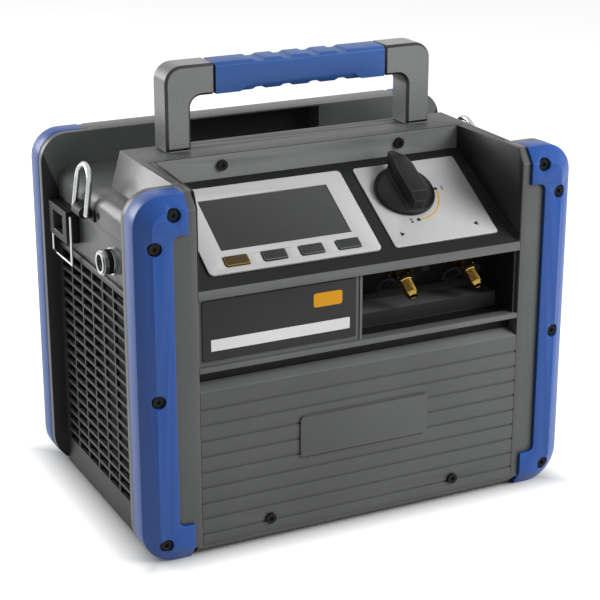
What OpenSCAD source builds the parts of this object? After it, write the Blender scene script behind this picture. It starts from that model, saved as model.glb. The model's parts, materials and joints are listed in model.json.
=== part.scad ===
// Portable refrigerant recovery machine
// X runs to the right, Y to the back, Z up. The origin is on the ground, under the middle.

/* [Overall] */
// Width over the corner bumpers
machine_w = 400; // [390:1:430]
// Depth over the corner bumpers
machine_d = 265; // [262:1:290]
// Height of the front and rear frames
frame_h = 312.5; // [309:0.5:326]

/* [Frames and bumpers] */
// Depth of each end frame, front to back
frame_depth = 35.5; // [34.5:0.5:38]
// Width of a post, from the outside to the panel opening
post_w = 50.5; // [48:0.5:52]
// Radius of the upper corners
corner_r = 25; // [22:1:30]
// Radius of the lower corners
foot_r = 30; // [26:1:34]
// Wall of a bumper
bumper_t = 4; // [3:0.5:4.5]
// Depth of a bumper, front to back
bumper_depth = 28; // [26:0.5:30]
// Width of the bumper's bevel, seen from the front
bevel_w = 13; // [9:0.5:13]
// Depth of the bumper's bevel
bevel_d = 9.5; // [7:0.5:10]
// Width of the bumper along the post
bumper_face_w = 29.5; // [28:0.5:32]
// Width of the bumper's corner tabs
tab_w = 43; // [40:0.5:45]
// Height of the upper tab
tab_top_h = 31.2; // [29:0.1:42]
// Height of the lower tab
tab_low_h = 33; // [30:1:40]
// Fillet between a bumper's face and its tabs
tab_fillet = 6; // [3:0.5:8]
// How far a frame's flange lies inside the bumpers
flange_step = 0.4; // [0.3:0.1:1]
// How far the bumper stands proud of the post
bumper_proud = 3; // [2.5:0.5:3]
// Radius of the screw recesses in a bumper
recess_r = 5.8; // [5.5:0.1:6.2]

/* [Housing] */
// Wall of the moulded housing
wall = 3; // [2.5:0.5:3.5]
// Clearance between pieces that seat on each other
seat_gap = 0.3; // [0.2:0.05:0.4]
// How far the core's side lies inside the bumpers
core_inset = 15; // [14:0.5:17]
// Height of the raised deck above the core's top
hump_h = 29.8; // [27:0.1:33]
// Radius of the core's upper edge
shoulder_r = 14; // [10:1:16]
// Height of the core's shoulder above the side wall
shoulder_h = 25; // [22:1:28]
// Height of the plain side wall above the grille
side_wall_h = 40.5; // [39:0.5:46]
// Clearance under the core
belly_z = 3.5; // [3:0.5:5]
// Deck's side edge, in from the shoulder
deck_set = 29; // [26:1:32]
// Lean of the deck's sides
deck_lean = 8.5; // [6:0.5:10]
// Depth of the sloping panel, from the front posts back to the lip
panel_run = 99.1; // [96:0.1:101]
// Height of the deck's front lip
lip_h = 20.5; // [19:0.1:23]
// Deck behind the handle
deck_tail = 1.3; // [1:0.1:6]

/* [Side grilles] */
// How far a grille stands proud of the side wall
grille_proud = 3; // [2:0.5:3.5]
// Slot length
slot_l = 23; // [18:0.5:23.5]
// Slot height
slot_h = 7; // [5:0.5:7.5]
// Spacing of the slots along the side
slot_pitch_y = 25.5; // [25:0.5:27]
// Spacing of the slots in height
slot_pitch_z = 9.75; // [9.5:0.05:10]
// Number of slots in a row
slot_cols = 7; // [5:1:7]
// Number of rows
slot_rows = 19; // [10:1:19]
// Plain strip over the top row
slot_margin = 3; // [2.5:0.5:4]

/* [Control panel] */
// Drop of the sloping panel, lip to ledge
panel_drop = 60; // [56:1:62]
// Thickness of the panel
panel_t = 3; // [2.5:0.5:3.5]
// Height of the ledge at the front of the panel
ledge_h = 8; // [7:0.5:9]
// Dark strip left of the display plate
plate_side = 14.7; // [12:0.1:18]
// Height of the display plate along the slope
bezel_h = 92.6; // [92:0.2:94]
// Dark strip between the two plates
plate_gap = 13.05; // [10:0.05:16]
// Upper edge of both plates, down the slope
plate_top = 10.4; // [9:0.2:11]
// Thickness of the display plate
bezel_t = 2.2; // [1.8:0.1:2.6]
// Display plate beside the screen
screen_side = 18.5; // [16:0.5:22]
// Height of the screen
screen_h = 55.6; // [52:0.2:56]
// Upper edge of the screen, down the slope
screen_top = 24; // [23:0.2:25]
// Display plate beside the row of keys
key_side = 16.3; // [14:0.1:20]
// Gap from key to key
key_gap = 12; // [8:0.2:14]
// Height of a key along the slope
key_h = 10.6; // [9:0.2:11]
// Middle of the keys, down the slope
key_u = 92; // [91.5:0.1:92.5]
// Height of a key above the display plate
key_proud = 1.6; // [1.4:0.1:2.2]
// Travel of a key
key_travel = 1; // [0.6:0.1:1.2]
// Width of the dial plate
dial_w = 99.7; // [96:0.1:102]
// Dark strip right of the dial plate
dial_side = 15.95; // [12:0.05:18]
// Thickness of the dial plate
dial_t = 1.6; // [1.2:0.1:2]
// Selector's axis, left of the dial plate's middle
knob_set = 15.9; // [12:0.1:17]
// Middle of the selector knob, down the slope
knob_u = 45.5; // [44:0.5:50]
// Radius of the knob's skirt
knob_r = 27; // [24:0.5:28]
// Height of the knob
knob_h = 24; // [20:0.5:28]
// Radius of the selector stem
stem_r = 4; // [3.5:0.1:4.5]

/* [Front panels] */
// Joint between the sill and the lower panel
brow_gap = 11.7; // [9:0.1:15]
// Spacing of the grooves
groove_pitch = 13.8; // [12:0.1:14]
// Depth of a groove
groove_d = 1.2; // [0.8:0.1:1.6]
// Width of a groove
groove_w = 1.8; // [1.2:0.1:2.4]
// Width of the blank plate
plate_w = 121; // [90:1:140]
// Height of the blank plate
plate_h = 38; // [30:1:44]
// Middle of the raised plate, below the lower panel's top
plate_set = 59.8; // [54:0.2:66]
// Height of the bay's mouth
bay_h = 57; // [55:0.5:60]
// Height of the sill
sill_h = 4.5; // [4.5:0.5:6]
// Where the fitting bay starts, sideways
bay_x = -4; // [-8:0.5:0]
// Depth of the fitting bay behind the ledge
bay_depth = 57.5; // [55:0.5:58]

/* [Ports] */
// Tilt of the flare ports below level
port_tilt = 35; // [32:1:37]
// Bay beside the right-hand port
port_side = 29.7; // [26:0.1:34]
// Spacing of the two ports
port_pitch = 64; // [60:0.5:69]
// Radius of the flare thread
port_r = 5.55; // [5.4:0.01:5.7]
// Length of the flare thread
port_l = 13; // [10:0.5:14]
// Width of the port's hexagon across the flats
port_hex = 17; // [16:0.5:19]
// Radius of the port's bore
port_bore = 2.4; // [2:0.1:3]

/* [Handle] */
// Height of the handle above the deck
handle_h = 72.7; // [69:0.1:80]
// Half width over the handle's legs
handle_half = 125.2; // [122:0.2:130]
// Width of a leg
leg_w = 22.4; // [20:0.2:26]
// Depth of the handle, front to back
handle_d = 28; // [24:0.5:30]
// Handle's front, behind the lip
handle_set = 19.1; // [17:0.1:21]
// Height of the top bar
bar_h = 26.4; // [24:0.2:28]
// Outer corner radius of the handle
handle_r = 15; // [12:0.5:20]
// Half length of the grip
grip_half = 80.3; // [74:0.1:84]
// Wall of the grip over the bar
grip_t = 4; // [3:0.5:5]

/* [Side fittings] */
// Where the strap rings stand, front to back
strap_y = 24; // [20:0.5:24]
// Width of a strap ring between its legs' middles
strap_w = 30; // [26:0.5:30]
// Height of a strap ring over its pivot
strap_h = 39.5; // [36:0.5:44]
// Radius of the ring's wire
strap_wire_r = 2.5; // [2:0.1:2.5]
// Lean of a resting ring towards the deck
strap_lean = 8; // [4:1:9]
// Height of the ring's pivot above the side wall's top
strap_rise = 5.5; // [4:0.5:7]
// Mains inlet's middle, in front of the rear frame
inlet_set = 27; // [26.5:0.5:34]
// Length of the power inlet
inlet_l = 45; // [42:0.5:45]
// Height of the power inlet
inlet_h = 29; // [27:0.5:31]
// How far the inlet stands out from the side wall
inlet_proud = 12; // [11:0.5:12.5]
// Radius of the retaining bail's wire
bail_wire_r = 1.3; // [1:0.1:1.5]
// Reach of the retaining bail from its pivot
bail_reach = 42; // [38:0.5:44]
// Float socket's middle, behind the front frame
socket_set = 63; // [58:0.5:68]
// Radius of the socket's shell
socket_r = 9.5; // [8:0.1:10]
// How far the socket stands out from the side wall
socket_l = 12; // [9:0.5:13]

/* [Compressor and fan] */
// Height of the crankshaft
shaft_z = 84; // [80:1:92]
// Radius of the drive motor
motor_r = 46; // [40:1:50]
// Shroud below the fan
fan_foot = 36.5; // [30:0.5:44]
// Fan's axis, below the sill
fan_set = 51; // [48:0.5:54]
// Number of fan blades
fan_blades = 7; // [5:1:9]

/* [Hidden] */
$fn = 64;
half_w = machine_w / 2;
front_y = -machine_d / 2;
core_y = machine_d / 2 - frame_depth;
post_y = front_y + bumper_proud;
open_half = half_w - post_w;
frame_inset = bumper_t + seat_gap;
deck_z = frame_h;
core_z = deck_z - hump_h;
core_half = half_w - core_inset;
side_half = core_half - 1;
grille_half = side_half + grille_proud;
seam_z = core_z - shoulder_h;
grille_top = seam_z - side_wall_h;
bevel_a = atan2(bevel_d, bevel_w);
bevel_lap = 2;
flange_y = front_y + bumper_depth;
body_y = front_y + bevel_d + bumper_t;
face_y = front_y + bumper_t + 1.5;
rail_top = 10.4;
rail_low = 3.3;

// Screw places on a bumper, from the outer edge inwards and in height
screw_spots = [[31, frame_h - 14.9], [14.7, frame_h - 40.1], [14.7, frame_h - 166.9], [18.2, 18.75]];
screw_head_r = 4.6;
screw_head_h = 3;
screw_shank_r = 2;
screw_shank_l = 14;
lip_screw_x = 84;
lip_screw_drop = 9.3;
cover_screw_x = 87.8;
cover_screw_up = 12;
boss_r = recess_r - seat_gap;
bore_gap = 0.05;

lip_y = post_y + panel_run;
lip_z = deck_z - lip_h;
ledge_z = lip_z - panel_drop;
slope_a = atan2(panel_drop, lip_y - post_y);
panel_half = open_half - seat_gap;
bezel_w = 2 * panel_half - plate_side - plate_gap - dial_w - dial_side;
bezel_x = -panel_half + plate_side + bezel_w / 2;
dial_x = panel_half - dial_side - dial_w / 2;
knob_x = dial_x - knob_set;
screen_w = bezel_w - 2 * screen_side;
key_w = (bezel_w - 2 * key_side - 3 * key_gap) / 4;
key_pitch = key_w + key_gap;
tub_back_half = open_half - 6.5;
tub_front_half = open_half - 1.2;
stem_l = 32;

bay_top = ledge_z - ledge_h;
sill_z = bay_top - bay_h;
bay_back_y = post_y + bay_depth;
bay_right = panel_half - 1;
port_x = bay_right - port_side - port_pitch;
bay_wall = 2.5;
shelf_z = sill_z + 11;
sill_d = 11.5;
shelf_y = bay_back_y - 26;
label_y = post_y + 2.5;
label_t = 1.6;
port_y = bay_back_y - 17;
port_z = bay_top - 15.5;
relief_x = port_x + 16.5;
relief_up = 11.5;
manifold_up = 22;
manifold_down = 13;
manifold_deep = 26;
manifold_x0 = port_x - 20;
manifold_x1 = port_x + port_pitch + 18;
lower_low = rail_top + seat_gap;
lower_panel_top = sill_z - sill_h - brow_gap;
plate_z = lower_panel_top - plate_set;
lower_brow = 4.5;
lower_brow_d = 12.5;

handle_y = lip_y + handle_set;
handle_back = handle_y + handle_d;
deck_back_y = handle_back + deck_tail;
deck_half = core_half - deck_set;
handle_mid_y = handle_y + handle_d / 2;
leg_x = handle_half - leg_w / 2;
bar_z = deck_z + handle_h - bar_h;

strap_plate_t = 2;
strap_x = core_half + strap_plate_t + strap_wire_r + 1;
strap_z = seam_z + strap_rise;
inlet_y = core_y - inlet_set;
inlet_top = seam_z - 2;
inlet_z = inlet_top - inlet_h / 2;
bail_x = side_half + inlet_proud - 3.5;
bail_z = inlet_top - 5;
socket_y = socket_set - core_y;
socket_z = seam_z - 23;
pan_floor = belly_z + 2;

crank_l = 72;
crank_x0 = 92 - side_half;
motor_x0 = crank_x0 + crank_l;
fan_w = 22;
coil_x0 = side_half - 32;
fan_x0 = coil_x0 - fan_w - 12;
motor_x1 = fan_x0 - 46;
fan_z = sill_z - fan_set;
coil_half = core_y - 12;
fan_r = min(fan_z - pan_floor - fan_foot, coil_half - 11);
coil_x1 = coil_x0 + 26;
shroud_t = 3;
pipe_r = 4;
board_half = 56;
board_low = 50;
board_h = 132;
board_t = 1.6;
board_post = 8;
board_edge = 4;
bracket_x = 20 - side_half;
barrel_y = core_y - 55;
crank_r = barrel_y - 2;
fin_n = 5;
fin_pitch = 5;
head_l = 10;
head_y = barrel_y + fin_n * fin_pitch + 2 + head_l;

module along_x(x0, x1) {
    translate([x0, 0, 0])
        rotate([90, 0, 90])
            linear_extrude(x1 - x0)
                children();
}

module along_y(y0, y1) {
    translate([0, y1, 0])
        rotate([90, 0, 0])
            linear_extrude(y1 - y0)
                children();
}

module both_sides() {
    children();
    mirror([1, 0, 0])
        children();
}

module rounded_rect(w, h, r) {
    union() {
        square([w - 2 * r, h], center = true);
        square([w, h - 2 * r], center = true);
        for (sx = [-1, 1], sy = [-1, 1])
            translate([sx * (w / 2 - r), sy * (h / 2 - r)])
                circle(r);
    }
}

// Places things on the sloping panel: x sideways, u down the slope from the lip
module on_panel(x, u) {
    translate([x, lip_y, lip_z])
        rotate([slope_a, 0, 0])
            translate([0, -u, 0])
                children();
}

// Places things on the bay's slanted ceiling, with Z along the port
module on_port(x) {
    translate([x, port_y, port_z])
        rotate([90 + port_tilt, 0, 0])
            children();
}

// Outline of an end frame, drawn in by d
module frame_outline(d) {
    top = [half_w - corner_r, frame_h - corner_r];
    low = [half_w - foot_r, foot_r];
    both_sides() {
        translate(top)
            circle(corner_r - d);
        translate(low)
            circle(foot_r - d);
        polygon([
            [-1, d], [low[0], d], [half_w - d, low[1]], [half_w - d, top[1]],
            [top[0], frame_h - d], [-1, frame_h - d]
        ]);
    }
}

// Concave fillet in the corner at x, z, above or below it
module tab_fillet_at(x, z, up) {
    r = tab_fillet;
    difference() {
        translate([x - r, up > 0 ? z - 1 : z - r])
            square([r + 1, r + 1]);
        translate([x - r, z + up * r])
            circle(r);
    }
}

// Post's land between the tabs, rounded to suit their fillets
module post_land(x0, x1, z0, z1, r) {
    translate([x0, z0])
        square([x1 - x0 - r, z1 - z0]);
    translate([x0, z0 + r])
        square([x1 - x0, z1 - z0 - 2 * r]);
    for (z = [z0 + r, z1 - r])
        translate([x1 - r, z])
            circle(r);
}

// Bumper: a bevelled band swept round the frame's edge, with a face over the post
module bumper_right() {
    side_y = front_y + bevel_d;
    lap_d = bevel_w + bevel_lap;
    band = [
        [0, flange_y], [0, side_y], [bevel_w, front_y], [lap_d, front_y], [lap_d, front_y + bumper_t],
        [bevel_w + bumper_t * tan(bevel_a / 2), front_y + bumper_t],
        [bumper_t, side_y + bumper_t * tan((90 - bevel_a) / 2)], [bumper_t, flange_y]
    ];
    top = [half_w - corner_r, frame_h - corner_r];
    low = [half_w - foot_r, foot_r];
    tab_x = half_w - tab_w;
    face_x = half_w - bumper_face_w;
    difference() {
        union() {
            along_x(tab_x, top[0])
                polygon([for (p = band) [p[1], frame_h - p[0]]]);
            translate([top[0], 0, top[1]])
                rotate([90, 0, 0])
                    rotate_extrude(angle = 90)
                        polygon([for (p = band) [corner_r - p[0], -p[1]]]);
            translate([0, 0, low[1]])
                linear_extrude(top[1] - low[1])
                    polygon([for (p = band) [half_w - p[0], p[1]]]);
            translate([low[0], 0, low[1]])
                rotate([90, 0, 0])
                    rotate([0, 0, -90])
                        rotate_extrude(angle = 90)
                            polygon([for (p = band) [foot_r - p[0], -p[1]]]);
            along_x(tab_x, low[0])
                polygon([for (p = band) [p[1], p[0]]]);
            along_y(front_y, front_y + bumper_t)
                intersection() {
                    frame_outline(bevel_w + bevel_lap / 2);
                    union() {
                        translate([face_x, 0])
                            square([bumper_face_w, frame_h]);
                        translate([tab_x, frame_h - tab_top_h])
                            square([tab_w, tab_top_h]);
                        translate([tab_x, 0])
                            square([tab_w, tab_low_h]);
                        tab_fillet_at(face_x, frame_h - tab_top_h, -1);
                        tab_fillet_at(face_x, tab_low_h, 1);
                    }
                }
        }
        for (s = screw_spots)
            translate([half_w - s[0], front_y - 1, s[1]])
                rotate([-90, 0, 0])
                    cylinder(r = recess_r, h = bevel_d + bumper_t + 1);
    }
}

module front_bumper_right() {
    color("#2b58a5")
        bumper_right();
}

module front_bumper_left() {
    color("#2b58a5")
        mirror([1, 0, 0])
            bumper_right();
}

module rear_bumper_right() {
    color("#2b58a5")
        mirror([0, 1, 0])
            bumper_right();
}

module rear_bumper_left() {
    color("#2b58a5")
        rotate([0, 0, 180])
            bumper_right();
}

// Posts and bottom rail that both end frames share
module post_frame() {
    rail = [
        [post_y, rail_top], [post_y + rail_top - rail_low, rail_low], [-core_y, rail_low], [-core_y, rail_top]
    ];
    land_w = post_w - bumper_face_w - seat_gap;
    strip_w = post_w - tab_w - seat_gap;
    bay_n = 4;
    pocket_x0 = open_half + wall;
    pocket_x1 = side_half - 2 * wall;
    pocket_z0 = tab_low_h;
    pocket_h = (seam_z - tab_low_h) / bay_n;
    difference() {
        union() {
            along_y(flange_y, -core_y)
                frame_outline(flange_step);
            along_y(body_y, flange_y)
                frame_outline(frame_inset);
            along_y(face_y, body_y)
                frame_outline(bevel_w + 1.5);
            both_sides() {
                along_y(post_y, body_y)
                    post_land(open_half, open_half + land_w, tab_low_h + seat_gap,
                        frame_h - tab_top_h - seat_gap, tab_fillet - seat_gap);
                translate([open_half, post_y, rail_top])
                    cube([strip_w, flange_y - post_y, frame_h - rail_top]);
                for (s = screw_spots)
                    translate([half_w - s[0], face_y, s[1]])
                        rotate([-90, 0, 0])
                            cylinder(r = boss_r, h = screw_shank_l + wall);
            }
        }
        translate([-open_half, front_y - 1, -1])
            cube([2 * open_half, frame_depth + 2, frame_h + 2]);
        along_x(-half_w, half_w)
            polygon([[post_y - 1, frame_h - bevel_w - bevel_w / bevel_d], [post_y - 1, frame_h + 1],
                [post_y + bevel_d + bevel_d / bevel_w, frame_h + 1]]);
        both_sides() {
            for (i = [0 : bay_n - 1])
                translate([pocket_x0, body_y - wall, pocket_z0 + i * pocket_h])
                    cube([pocket_x1 - pocket_x0, frame_depth, pocket_h - wall]);
            for (s = screw_spots)
                translate([half_w - s[0], front_y, s[1]])
                    rotate([-90, 0, 0])
                        cylinder(r = screw_shank_r + bore_gap, h = screw_shank_l + face_y - front_y + 1);
        }
    }
    along_x(-open_half - wall, open_half + wall)
        polygon(rail);
}

module front_frame() {
    color("#646666")
        post_frame();
}

// The rear frame has a header with a pocket behind the handle
module rear_frame() {
    header_low = seam_z + 5;
    pocket_half = 71;
    pocket_d = 22;
    pocket_roof = 1.8;
    bevel_run = bevel_d * (bevel_w - bumper_proud) / bevel_w;
    color("#646666")
        difference() {
            union() {
                mirror([0, 1, 0])
                    post_frame();
                along_x(-open_half - wall, open_half + wall)
                    polygon([
                        [core_y, header_low], [-post_y, header_low],
                        [-post_y, deck_z - bevel_w], [-post_y - bevel_run, deck_z], [core_y, deck_z]
                    ]);
            }
            translate([-pocket_half, core_y - 1, core_z])
                cube([2 * pocket_half, pocket_d + 1, deck_z - pocket_roof - core_z]);
            translate([-open_half + wall, core_y + wall, header_low - 1])
                cube([2 * (open_half - wall), -post_y - core_y - 2 * wall, core_z - wall - header_low + 1]);
        }
}

// Shell with horizontal grooves, shared by the front and the rear cover
module grooved_shell(low, high, half, first, plain) {
    back = post_y + wall;
    grooves = floor((high - first - plain) / groove_pitch) + 1;
    along_x(-half, half)
        polygon(concat(
            [[back, low], [post_y, low]],
            [for (i = [0 : grooves - 1], p = [[0, -1], [groove_d, -1], [groove_d, 1], [0, 1]])
                [post_y + p[0], first + i * groove_pitch + p[1] * groove_w / 2]],
            [[post_y, high], [back, high]]
        ));
}

module rear_panel() {
    low = rail_top + seat_gap;
    high = seam_z + 5 - seat_gap;
    first = 30;
    plain = 20;
    half = open_half - seat_gap;
    color("#5c5e5e")
        difference() {
            mirror([0, 1, 0])
                union() {
                    grooved_shell(low, high, half, first, plain);
                    for (z = [low, high - wall])
                        translate([-half, post_y + wall, z])
                            cube([2 * half, 12, wall]);
                    both_sides()
                        translate([half - wall, post_y + wall, low])
                            cube([wall, 12, high - low]);
                }
            for (sx = [-1, 1], z = [low + 10, high - 10])
                translate([sx * (half - 12), -post_y + 1, z])
                    rotate([90, 0, 0])
                        cylinder(r = screw_shank_r + bore_gap, h = wall + 2);
        }
}

module base_pan() {
    pan_half = side_half;
    pan_y = core_y;
    flange_h = 16;
    sheet = 2;
    color("#3a3c3d")
        difference() {
            translate([-pan_half, -pan_y, belly_z])
                cube([2 * pan_half, 2 * pan_y, flange_h]);
            translate([-pan_half + sheet, -pan_y + sheet, pan_floor])
                cube([2 * (pan_half - sheet), 2 * (pan_y - sheet), flange_h]);
            for (sx = [-1, 1], i = [-3 : 3])
                translate([sx * (pan_half - 34), i * 24, belly_z - 1])
                    translate([-20, -4, 0])
                        cube([40, 8, sheet + 2]);
        }
}

// Plain wall over the grille
module side_wall_solid() {
    translate([side_half - wall, -core_y, grille_top - 6])
        cube([wall, 2 * core_y, side_wall_h + 6]);
}

module side_wall_right() {
    color("#6a6b6b")
        side_wall_solid();
}

module side_wall_left() {
    hole_w = inlet_l - 10;
    hole_h = inlet_h - 8;
    color("#6a6b6b")
        difference() {
            mirror([1, 0, 0])
                side_wall_solid();
            translate([-side_half - 1, inlet_y - hole_w / 2, inlet_z - hole_h / 2])
                cube([wall + 2, hole_w, hole_h]);
            translate([-side_half - 1, socket_y, socket_z])
                rotate([0, 90, 0])
                    cylinder(r = socket_r - 1.5, h = wall + 2);
        }
}

// Grille: one moulded sheet, pierced by a grid of slots, with a turned rim along its top
module side_grille() {
    grid_w = (slot_cols - 1) * slot_pitch_y + slot_l;
    grid_z0 = grille_top - slot_margin - (slot_rows - 1) * slot_pitch_z - slot_h;
    rim = 2.4;
    along_x(side_half, grille_half)
        difference() {
            translate([-core_y, belly_z])
                square([2 * core_y, grille_top - belly_z - rim]);
            for (i = [0 : slot_cols - 1], j = [0 : slot_rows - 1])
                translate([-grid_w / 2 + i * slot_pitch_y, grid_z0 + j * slot_pitch_z - rim])
                    square([slot_l, slot_h]);
        }
    along_y(-core_y, core_y)
        polygon([
            [side_half, grille_top - rim], [grille_half + 1, grille_top - rim],
            [grille_half + 1, grille_top - rim + 1], [grille_half - 0.4, grille_top], [side_half, grille_top]
        ]);
}

module side_grille_right() {
    color("#5d5f5f")
        side_grille();
}

module side_grille_left() {
    color("#5d5f5f")
        mirror([1, 0, 0])
            side_grille();
}

// Half profile of the top cover, as a band of the wall's thickness
module cover_profile(r, top, half) {
    translate([0, seam_z])
        square([half, top - r - seam_z]);
    translate([0, seam_z])
        square([half - r, top - seam_z]);
    translate([half - r, top - r])
        circle(r);
}

module deck_profile(d) {
    polygon([
        [-deck_half - deck_lean + d, core_z - wall - 1], [deck_half + deck_lean - d, core_z - wall - 1],
        [deck_half + deck_lean - d, core_z], [deck_half - d, deck_z - d],
        [-deck_half + d, deck_z - d], [-deck_half - deck_lean + d, core_z]
    ]);
}

module top_cover() {
    color("#6a6b6b")
        difference() {
            union() {
                along_y(-core_y, core_y)
                    difference() {
                        both_sides()
                            cover_profile(shoulder_r, core_z, core_half);
                        both_sides()
                            translate([0, -1])
                                square([core_half - wall, core_z - shoulder_r - seam_z + 1 + seam_z]);
                        both_sides()
                            translate([0, seam_z - 1])
                                square([core_half - shoulder_r, core_z - wall - seam_z + 1]);
                        both_sides()
                            translate([core_half - shoulder_r, core_z - shoulder_r])
                                circle(shoulder_r - wall);
                    }
                along_y(-core_y, deck_back_y)
                    difference() {
                        deck_profile(0);
                        translate([-half_w, 0])
                            square([2 * half_w, core_z - wall]);
                    }
            }
            along_y(lip_y + wall, deck_back_y - wall)
                deck_profile(wall);
            translate([-open_half, -core_y - 1, 0])
                cube([2 * open_half, core_y + lip_y + 1, frame_h]);
            for (sx = [-1, 1]) {
                translate([sx * lip_screw_x, lip_y - 1, deck_z - lip_screw_drop])
                    rotate([-90, 0, 0])
                        cylinder(r = screw_shank_r + bore_gap, h = wall + 2);
                for (dy = [-7, 7])
                    translate([sx * leg_x, handle_mid_y + dy, deck_z - wall - 1])
                        cylinder(r = screw_shank_r + bore_gap, h = wall + 2);
            }
        }
}

// Arch of the handle, with the bar drawn in where the grip goes round it
module handle_frame() {
    h = handle_h;
    inner_half = handle_half - leg_w;
    inner_r = 10;
    foot_gap = 1.2;
    foot_in = 3;
    leg_z = deck_z + foot_gap;
    core_d = handle_d - 2 * grip_t;
    core_h = bar_h - 2 * grip_t;
    color("#6f7070")
        difference() {
            union() {
                along_y(handle_y, handle_back)
                    difference() {
                        union() {
                            translate([-handle_half, leg_z])
                                square([2 * handle_half, h - foot_gap - handle_r]);
                            translate([-handle_half + handle_r, leg_z])
                                square([2 * (handle_half - handle_r), h - foot_gap]);
                            for (sx = [-1, 1])
                                translate([sx * (handle_half - handle_r), deck_z + h - handle_r])
                                    circle(handle_r);
                        }
                        translate([-inner_half, deck_z - 1])
                            square([2 * inner_half, h - bar_h - inner_r + 1]);
                        translate([-inner_half + inner_r, deck_z - 1])
                            square([2 * (inner_half - inner_r), h - bar_h + 1]);
                        for (sx = [-1, 1])
                            translate([sx * (inner_half - inner_r), bar_z - inner_r])
                                circle(inner_r);
                    }
                for (sx = [-1, 1])
                    translate([sx * leg_x, handle_mid_y, deck_z])
                        linear_extrude(2 * foot_gap)
                            rounded_rect(leg_w - foot_in, handle_d - foot_in, 2);
            }
            difference() {
                translate([-grip_half, handle_y - 1, bar_z - 1])
                    cube([2 * grip_half, handle_d + 2, bar_h + 2]);
                translate([-grip_half - 1, handle_y + grip_t, bar_z + grip_t])
                    cube([2 * grip_half + 2, core_d, core_h]);
            }
            for (sx = [-1, 1], dy = [-7, 7])
                translate([sx * leg_x, handle_mid_y + dy, deck_z - 1])
                    cylinder(r = screw_shank_r + bore_gap, h = 16);
        }
}

// Grip: a sleeve with four notches above and below, and bevelled away under the fingers
module handle_grip() {
    len = grip_half - seat_gap;
    notch_n = 4;
    notch_pitch = 26;
    notch_w = 10;
    notch_d = 2;
    top_cut = 3;
    under_h = 6;
    under_d = 3.5;
    under_half = 60;
    y0 = handle_y;
    z1 = bar_z + bar_h;
    notch = [[-notch_w / 2 - notch_d, -1], [notch_w / 2 + notch_d, -1], [notch_w / 2 + notch_d / 2, 0],
        [notch_w / 2 - notch_d, notch_d], [notch_d - notch_w / 2, notch_d], [-notch_w / 2 - notch_d / 2, 0]];
    color("#2b58a5")
        difference() {
            intersection() {
                along_y(y0, handle_back)
                    difference() {
                        translate([-len, bar_z])
                            square([2 * len, bar_h]);
                        for (i = [0 : notch_n - 1])
                            translate([(i - (notch_n - 1) / 2) * notch_pitch, 0]) {
                                polygon([for (p = notch) [p[0], bar_z + p[1]]]);
                                polygon([for (p = notch) [p[0], z1 - p[1]]]);
                            }
                    }
                along_x(-len, len)
                    polygon([
                        [y0, bar_z], [handle_back, bar_z], [handle_back, z1 - top_cut],
                        [handle_back - top_cut, z1], [y0 + top_cut, z1], [y0, z1 - top_cut]
                    ]);
            }
            for (my = [0, 1])
                translate([0, handle_mid_y, 0])
                    mirror([0, my, 0])
                        intersection() {
                            along_x(-under_half, under_half)
                                translate([-handle_d / 2, bar_z])
                                    polygon([[-1, -1], [under_d + under_d / under_h, -1], [0, under_h],
                                        [-1, under_h]]);
                            along_y(-handle_d, handle_d)
                                polygon([[-under_half, bar_z - 2], [under_half, bar_z - 2],
                                    [under_half - 2 * under_h, bar_z + under_h + 1],
                                    [2 * under_h - under_half, bar_z + under_h + 1]]);
                        }
            translate([-grip_half, y0 + grip_t - bore_gap, bar_z + grip_t - bore_gap])
                cube([2 * grip_half, handle_d - 2 * grip_t + 2 * bore_gap, bar_h - 2 * grip_t + 2 * bore_gap]);
        }
}

// Sloping panel with its front ledge and the tapering walls at both sides
module control_panel() {
    lap = 2;
    front_t = 6;
    slope = panel_drop / (lip_y - post_y);
    drop_t = panel_t / cos(slope_a);
    bevel_run = bevel_d * (bevel_w - bumper_proud) / bevel_w;
    color("#2e3030")
        difference() {
            union() {
                along_x(-panel_half, panel_half)
                    polygon([
                        [lip_y, lip_z], [post_y, ledge_z], [post_y, bay_top], [post_y + front_t, bay_top],
                        [post_y + front_t, ledge_z + front_t * slope - drop_t], [lip_y, lip_z - drop_t]
                    ]);
                both_sides()
                    intersection() {
                        translate([0, 0, bay_top])
                            linear_extrude(frame_h)
                                polygon([[panel_half, lip_y], [tub_back_half, lip_y],
                                    [tub_front_half, post_y], [panel_half, post_y]]);
                        along_x(0, half_w)
                            polygon([[lip_y, lip_z - lap], [post_y, ledge_z - lap], [post_y, deck_z - bevel_w],
                                [post_y + bevel_run, deck_z], [lip_y, deck_z]]);
                    }
                for (x = [bezel_x - bezel_w / 2 + 6, bezel_x + bezel_w / 2 - 6], u = [plate_top + 5, plate_top + bezel_h - 5])
                    on_panel(x, u)
                        translate([0, 0, -12])
                            cylinder(r = 3, h = 12 - panel_t / 2);
            }
            on_panel(bezel_x, 0)
                translate([-screen_w / 2 - 3, -key_u - key_h / 2 - 1.5, -panel_t - 1])
                    cube([screen_w + 6, key_u + key_h / 2 + 1.5 - screen_top + 3, panel_t + 2]);
            on_panel(knob_x, knob_u)
                translate([0, 0, -panel_t - 1])
                    cylinder(r = stem_r + 4.2, h = panel_t + 2);
        }
}

module display_bezel() {
    mid = plate_top + bezel_h / 2;
    color("#c2c3c2")
        on_panel(bezel_x, mid)
            linear_extrude(bezel_t)
                difference() {
                    rounded_rect(bezel_w, bezel_h, 4);
                    translate([-screen_w / 2, mid - screen_top - screen_h])
                        square([screen_w, screen_h]);
                    for (i = [-1.5 : 1.5])
                        translate([i * key_pitch, mid - key_u])
                            rounded_rect(key_w, key_h, 1.5);
                }
}

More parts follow.
